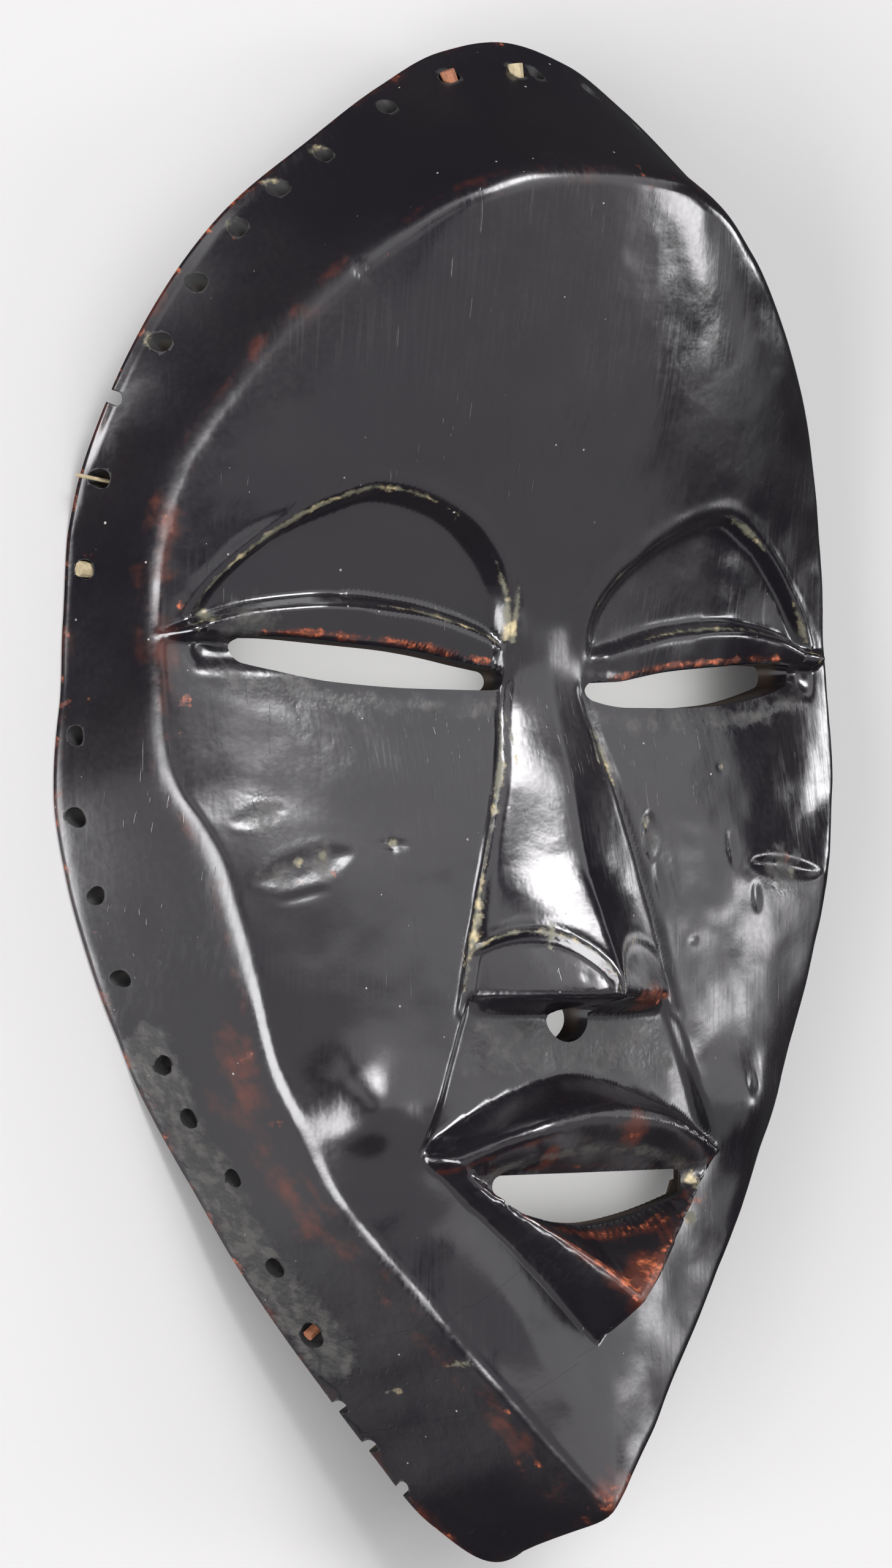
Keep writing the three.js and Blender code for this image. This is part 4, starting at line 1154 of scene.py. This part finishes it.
matte_colour = mix_colour(tree, blotches(tree, 1.4, 0.42, 0.6, 0.9), *MOTTLED["matte"])
base = mix_colour(tree, maths(tree, "MULTIPLY", matte, 0.6), base, matte_colour)
# Painted shade: the walls of the rim holes turn near black
base = mix_colour(tree, hole_shade, base, PLAIN["hole_shade"])
clay_colour = mix_colour(tree, blotches(tree, 1.7, 0.47, 0.66), *MOTTLED["clay"])
base = mix_colour(tree, clay, base, clay_colour)
base = mix_colour(tree, dust, base, PLAIN["dust"])
base = mix_colour(tree, inside, base, mix_colour(tree, grain, *MOTTLED["bare"]))
base = mix_colour(tree, crack, base, PLAIN["crack"])
links.new(base, shader.inputs["Base Color"])
print("the patina has", len(MOTTLED), "mottled colours and", len(PLAIN), "plain ones")

# %% Gloss of the patina
rubbed = maths(tree, "MULTIPLY", lines(tree, 0.25, 4, 0.46), blotches(tree, 18, 0.47, 0.62, 0.7))
scratched = maths(tree, "MULTIPLY", lines(tree, 0.2, 38, 0.3), blotches(tree, 16, 0.5, 0.6, 0.1))
# Each change: where the surface is duller than the polished patina, and by how much
GLOSS_CHANGES = [
    (blotches(tree, 20, 0.45, 0.6, 2.2), 0.09),
    (maths(tree, "SUBTRACT", fine, 0.5), 0.1),
    (rubbed, 0.07),
    (tinged, 0.06),
    (worn, 0.2),
    (clay, 0.45),
    (matte, 0.32),
    (dust, 0.4),
    (hole_shade, 0.45),
    (inside, 0.35),
]
POLISHED = 0.12
gloss = maths(tree, "MULTIPLY_ADD", mottle, 0.1, POLISHED)
for place, amount in GLOSS_CHANGES:
    gloss = maths(tree, "MULTIPLY_ADD", place, amount, gloss, clamp=True)
links.new(gloss, shader.inputs["Roughness"])

# %% Relief of the patina
# Each change: a pattern, and its height against that of the softest waves
RELIEF_CHANGES = [
    (grain, 0.1),
    (fine, 0.04),
    (scratched, -0.06),
    (maths(tree, "MULTIPLY", ramp(tree, painted(tree, "dull"), 0, 1), fine), 0.3),
    (crack, -1.0),
]
relief = maths(tree, "MULTIPLY", noise(tree, 5, 2, 0.5), 0.5)
for place, amount in RELIEF_CHANGES:
    relief = maths(tree, "MULTIPLY_ADD", place, amount, relief)
bumped = node(tree, "ShaderNodeBump", in_Strength=0.6, in_Distance=0.0005)
links.new(relief, bumped.inputs["Height"])
links.new(bumped.outputs[0], shader.inputs["Normal"])
shader.inputs["IOR"].default_value = 1.5

cut_mesh.materials.clear()
cut_mesh.materials.append(patina)
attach(mask, "root")
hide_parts("wooden_mask")
print("its shader has", len(tree.nodes), "nodes in all")

# %% [markdown]
# ## The stubs
#
# Reed and fibre are both bundles of fine tubes, cut across. Two materials share this end grain, so it is a
# group with two colours to choose, and its colour, roughness and height go straight to each shader.

# %% End grain as a group
end_grain, into, out_of = group(
    "end_grain",
    [("Dark", "NodeSocketColor"), ("Pale", "NodeSocketColor")],
    [("Color", "NodeSocketColor"), ("Roughness", "NodeSocketFloat"), ("Height", "NodeSocketFloat")])
streaks = noise(end_grain, 0.38, 4, 0.6)
blend = mix_colour(end_grain, streaks, into.outputs["Dark"], into.outputs["Pale"])
end_grain.links.new(blend, out_of.inputs["Color"])
end_grain.links.new(maths(end_grain, "MULTIPLY_ADD", streaks, 0.2, 0.6), out_of.inputs["Roughness"])
end_grain.links.new(maths(end_grain, "MULTIPLY", streaks, 1.0), out_of.inputs["Height"])

# %% Reed and pale fibre
STUBS = dict(
    reed=((0.06, 0.02, 0.009), (0.24, 0.085, 0.035), ("reed_stub", "top_peg_left")),
    pale_fibre=((0.1, 0.08, 0.045), (0.34, 0.28, 0.17), ("pale_sliver", "side_plug", "top_peg_right")),
)
for name, (dark, pale, pieces) in STUBS.items():
    material, tree, shader = new_material(name)
    cut_end = node(tree, "ShaderNodeGroup", node_tree=end_grain, in_Dark=(*dark, 1), in_Pale=(*pale, 1))
    bumped = node(tree, "ShaderNodeBump", in_Strength=0.6, in_Distance=0.0002)
    tree.links.new(cut_end.outputs["Color"], shader.inputs["Base Color"])
    tree.links.new(cut_end.outputs["Roughness"], shader.inputs["Roughness"])
    tree.links.new(cut_end.outputs["Height"], bumped.inputs["Height"])
    tree.links.new(bumped.outputs[0], shader.inputs["Normal"])
    for piece in pieces:
        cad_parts[piece].data.materials.clear()
        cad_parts[piece].data.materials.append(material)
    print(name, "is on", ", ".join(pieces))

# %% [markdown]
# ## Floor, light and camera
#
# The mask lies on a pale floor. A dark glossy surface shows mostly what it mirrors, so the light comes
# from soft patches of the world around it, each placed where a part of the face looks. Lamps could do the
# same, but a patch is only a range of directions, so all of them fit in one list. The camera looks down
# from the left.

# %% Floor
FLOOR_REACH = 3.0
floor_mesh = bpy.data.meshes.new("floor")
corners = np.array([(-1, -1, 0), (1, -1, 0), (1, 1, 0), (-1, 1, 0)]) * FLOOR_REACH
floor_mesh.from_pydata(corners.tolist(), [], [(0, 1, 2, 3)])
floor = linked("floor", floor_mesh)
floor_finish, tree, shader = new_material("pale_floor")
shader.inputs["Base Color"].default_value = (0.3, 0.298, 0.295, 1)
shader.inputs["Roughness"].default_value = 0.85
floor_mesh.materials.append(floor_finish)
floor.visible_glossy = False

# %% Camera
YAW, PITCH, DISTANCE = 35, 0.72, 0.9
LENS, SENSOR_HEIGHT = 129.6, 36
target = Vector((0, 0.0019, 0))
yaw, pitch = np.radians(YAW), np.radians(PITCH)
back_off = Vector((-np.sin(yaw), -np.sin(pitch), np.cos(yaw)))
camera_data = bpy.data.cameras.new("camera")
camera_data.sensor_fit = "VERTICAL"
camera_data.sensor_height = SENSOR_HEIGHT
camera_data.lens = LENS
camera = linked("camera", camera_data)
backward = back_off.normalized()
right = Vector((np.cos(yaw), 0, np.sin(yaw)))
up = backward.cross(right).normalized()
right = up.cross(backward).normalized()
turned = Matrix((right, up, backward)).transposed().to_4x4()
camera.matrix_world = Matrix.Translation(target + back_off * DISTANCE) @ turned
bpy.context.scene.camera = camera
print("the camera stands", DISTANCE, "m away,", YAW, "degrees to the left")

# %% Light under the mask
# The floor under the mask lies in its shadow. The openings read best against a bright ground, so a small
# panel a few millimetres over the floor lights it behind each of them.
UNDER_WATTS_PER_AREA = 7.5
UNDER_HEIGHT = 0.007
UNDER_PANELS = dict(
    left_eye=((-0.018, 0.022), (0.05, 0.02)),
    right_eye=((0.036, 0.018), (0.03, 0.02)),
    mouth=((0.02, -0.058), (0.04, 0.02)),
    nose=((0.019, -0.035), (0.02, 0.012)),
)
for name, (place, (width, height)) in UNDER_PANELS.items():
    light_data = bpy.data.lights.new("under_" + name, "AREA")
    light_data.shape = "RECTANGLE"
    light_data.size, light_data.size_y = width, height
    light_data.energy = UNDER_WATTS_PER_AREA * width * height
    under = linked("under_" + name, light_data)
    under.location = (*place, UNDER_HEIGHT)
    under.visible_camera = False
    under.visible_glossy = False
print("panels under the mask:", ", ".join(UNDER_PANELS))

# %% The studio round the mask
world = bpy.data.worlds.new("studio")
world.use_nodes = True
tree = world.node_tree
direction = node(tree, "ShaderNodeTexCoord").outputs["Generated"]
axes = node(tree, "ShaderNodeSeparateXYZ")
tree.links.new(direction, axes.inputs[0])


def within(axis, low, high, soft):
    """1 where one axis of the direction is between low and high, with soft borders."""
    rising = ramp(tree, axes.outputs[axis], low - soft, low + soft)
    past = ramp(tree, axes.outputs[axis], high - soft, high + soft)
    return maths(tree, "MULTIPLY", rising, maths(tree, "SUBTRACT", 1, past))


def softbox(radiance, x, y, z, soft):
    """Light from a patch of the studio: the product of its reach along the three axes."""
    patch = maths(tree, "MULTIPLY", within("X", *x, soft), within("Y", *y, soft))
    return maths(tree, "MULTIPLY", maths(tree, "MULTIPLY", patch, within("Z", *z, soft)), radiance)


AMBIENT = 0.04
# Each softbox: its radiance, its reach in X, Y and Z of the direction, and how soft its borders are
SOFTBOXES = dict(
    above=(2.1, (-0.16, 0.8), (0.0, 0.64), (0, 1.5), 0.04),
    below=(0.9, (-0.6, 0.77), (-0.72, -0.14), (0, 1.5), 0.05),
    middle=(0.9, (-0.28, 0.8), (-0.14, 0.0), (0, 1.5), 0.05),
    key=(30, (-0.2, 0.17), (0.51, 0.8), (0, 1.5), 0.03),
    key_glow=(2.6, (-0.5, -0.14), (0.6, 0.78), (0, 1.5), 0.05),
    side_glow=(2.0, (-0.72, -0.42), (0.26, 0.66), (0.2, 1.5), 0.05),
    temple=(1.6, (-0.55, -0.3), (0.03, 0.24), (0.6, 1.5), 0.04),
    floor_left=(1.2, (-1.2, -0.3), (-0.78, -0.1), (-1.5, 0.05), 0.12),
    cheek_window=(11, (0.95, 1.2), (0.09, 0.22), (-0.08, 0.13), 0.02),
    forehead_window=(15, (0.74, 0.94), (-0.13, 0.05), (0.4, 0.68), 0.03),
    right_dim=(0.8, (0.84, 1.2), (-0.12, 0.06), (0.12, 0.5), 0.03),
    left_strip=(20, (-0.97, -0.64), (-0.6, 0.1), (0.16, 0.62), 0.05),
)
light = AMBIENT
for settings in SOFTBOXES.values():
    light = maths(tree, "ADD", light, softbox(*settings))
tree.nodes["Background"].inputs["Color"].default_value = (0.99, 0.98, 1.0, 1)
tree.links.new(light, tree.nodes["Background"].inputs["Strength"])
bpy.context.scene.world = world
bpy.context.scene.view_settings.view_transform = "Standard"
print("the studio has", len(SOFTBOXES), "soft patches of light")
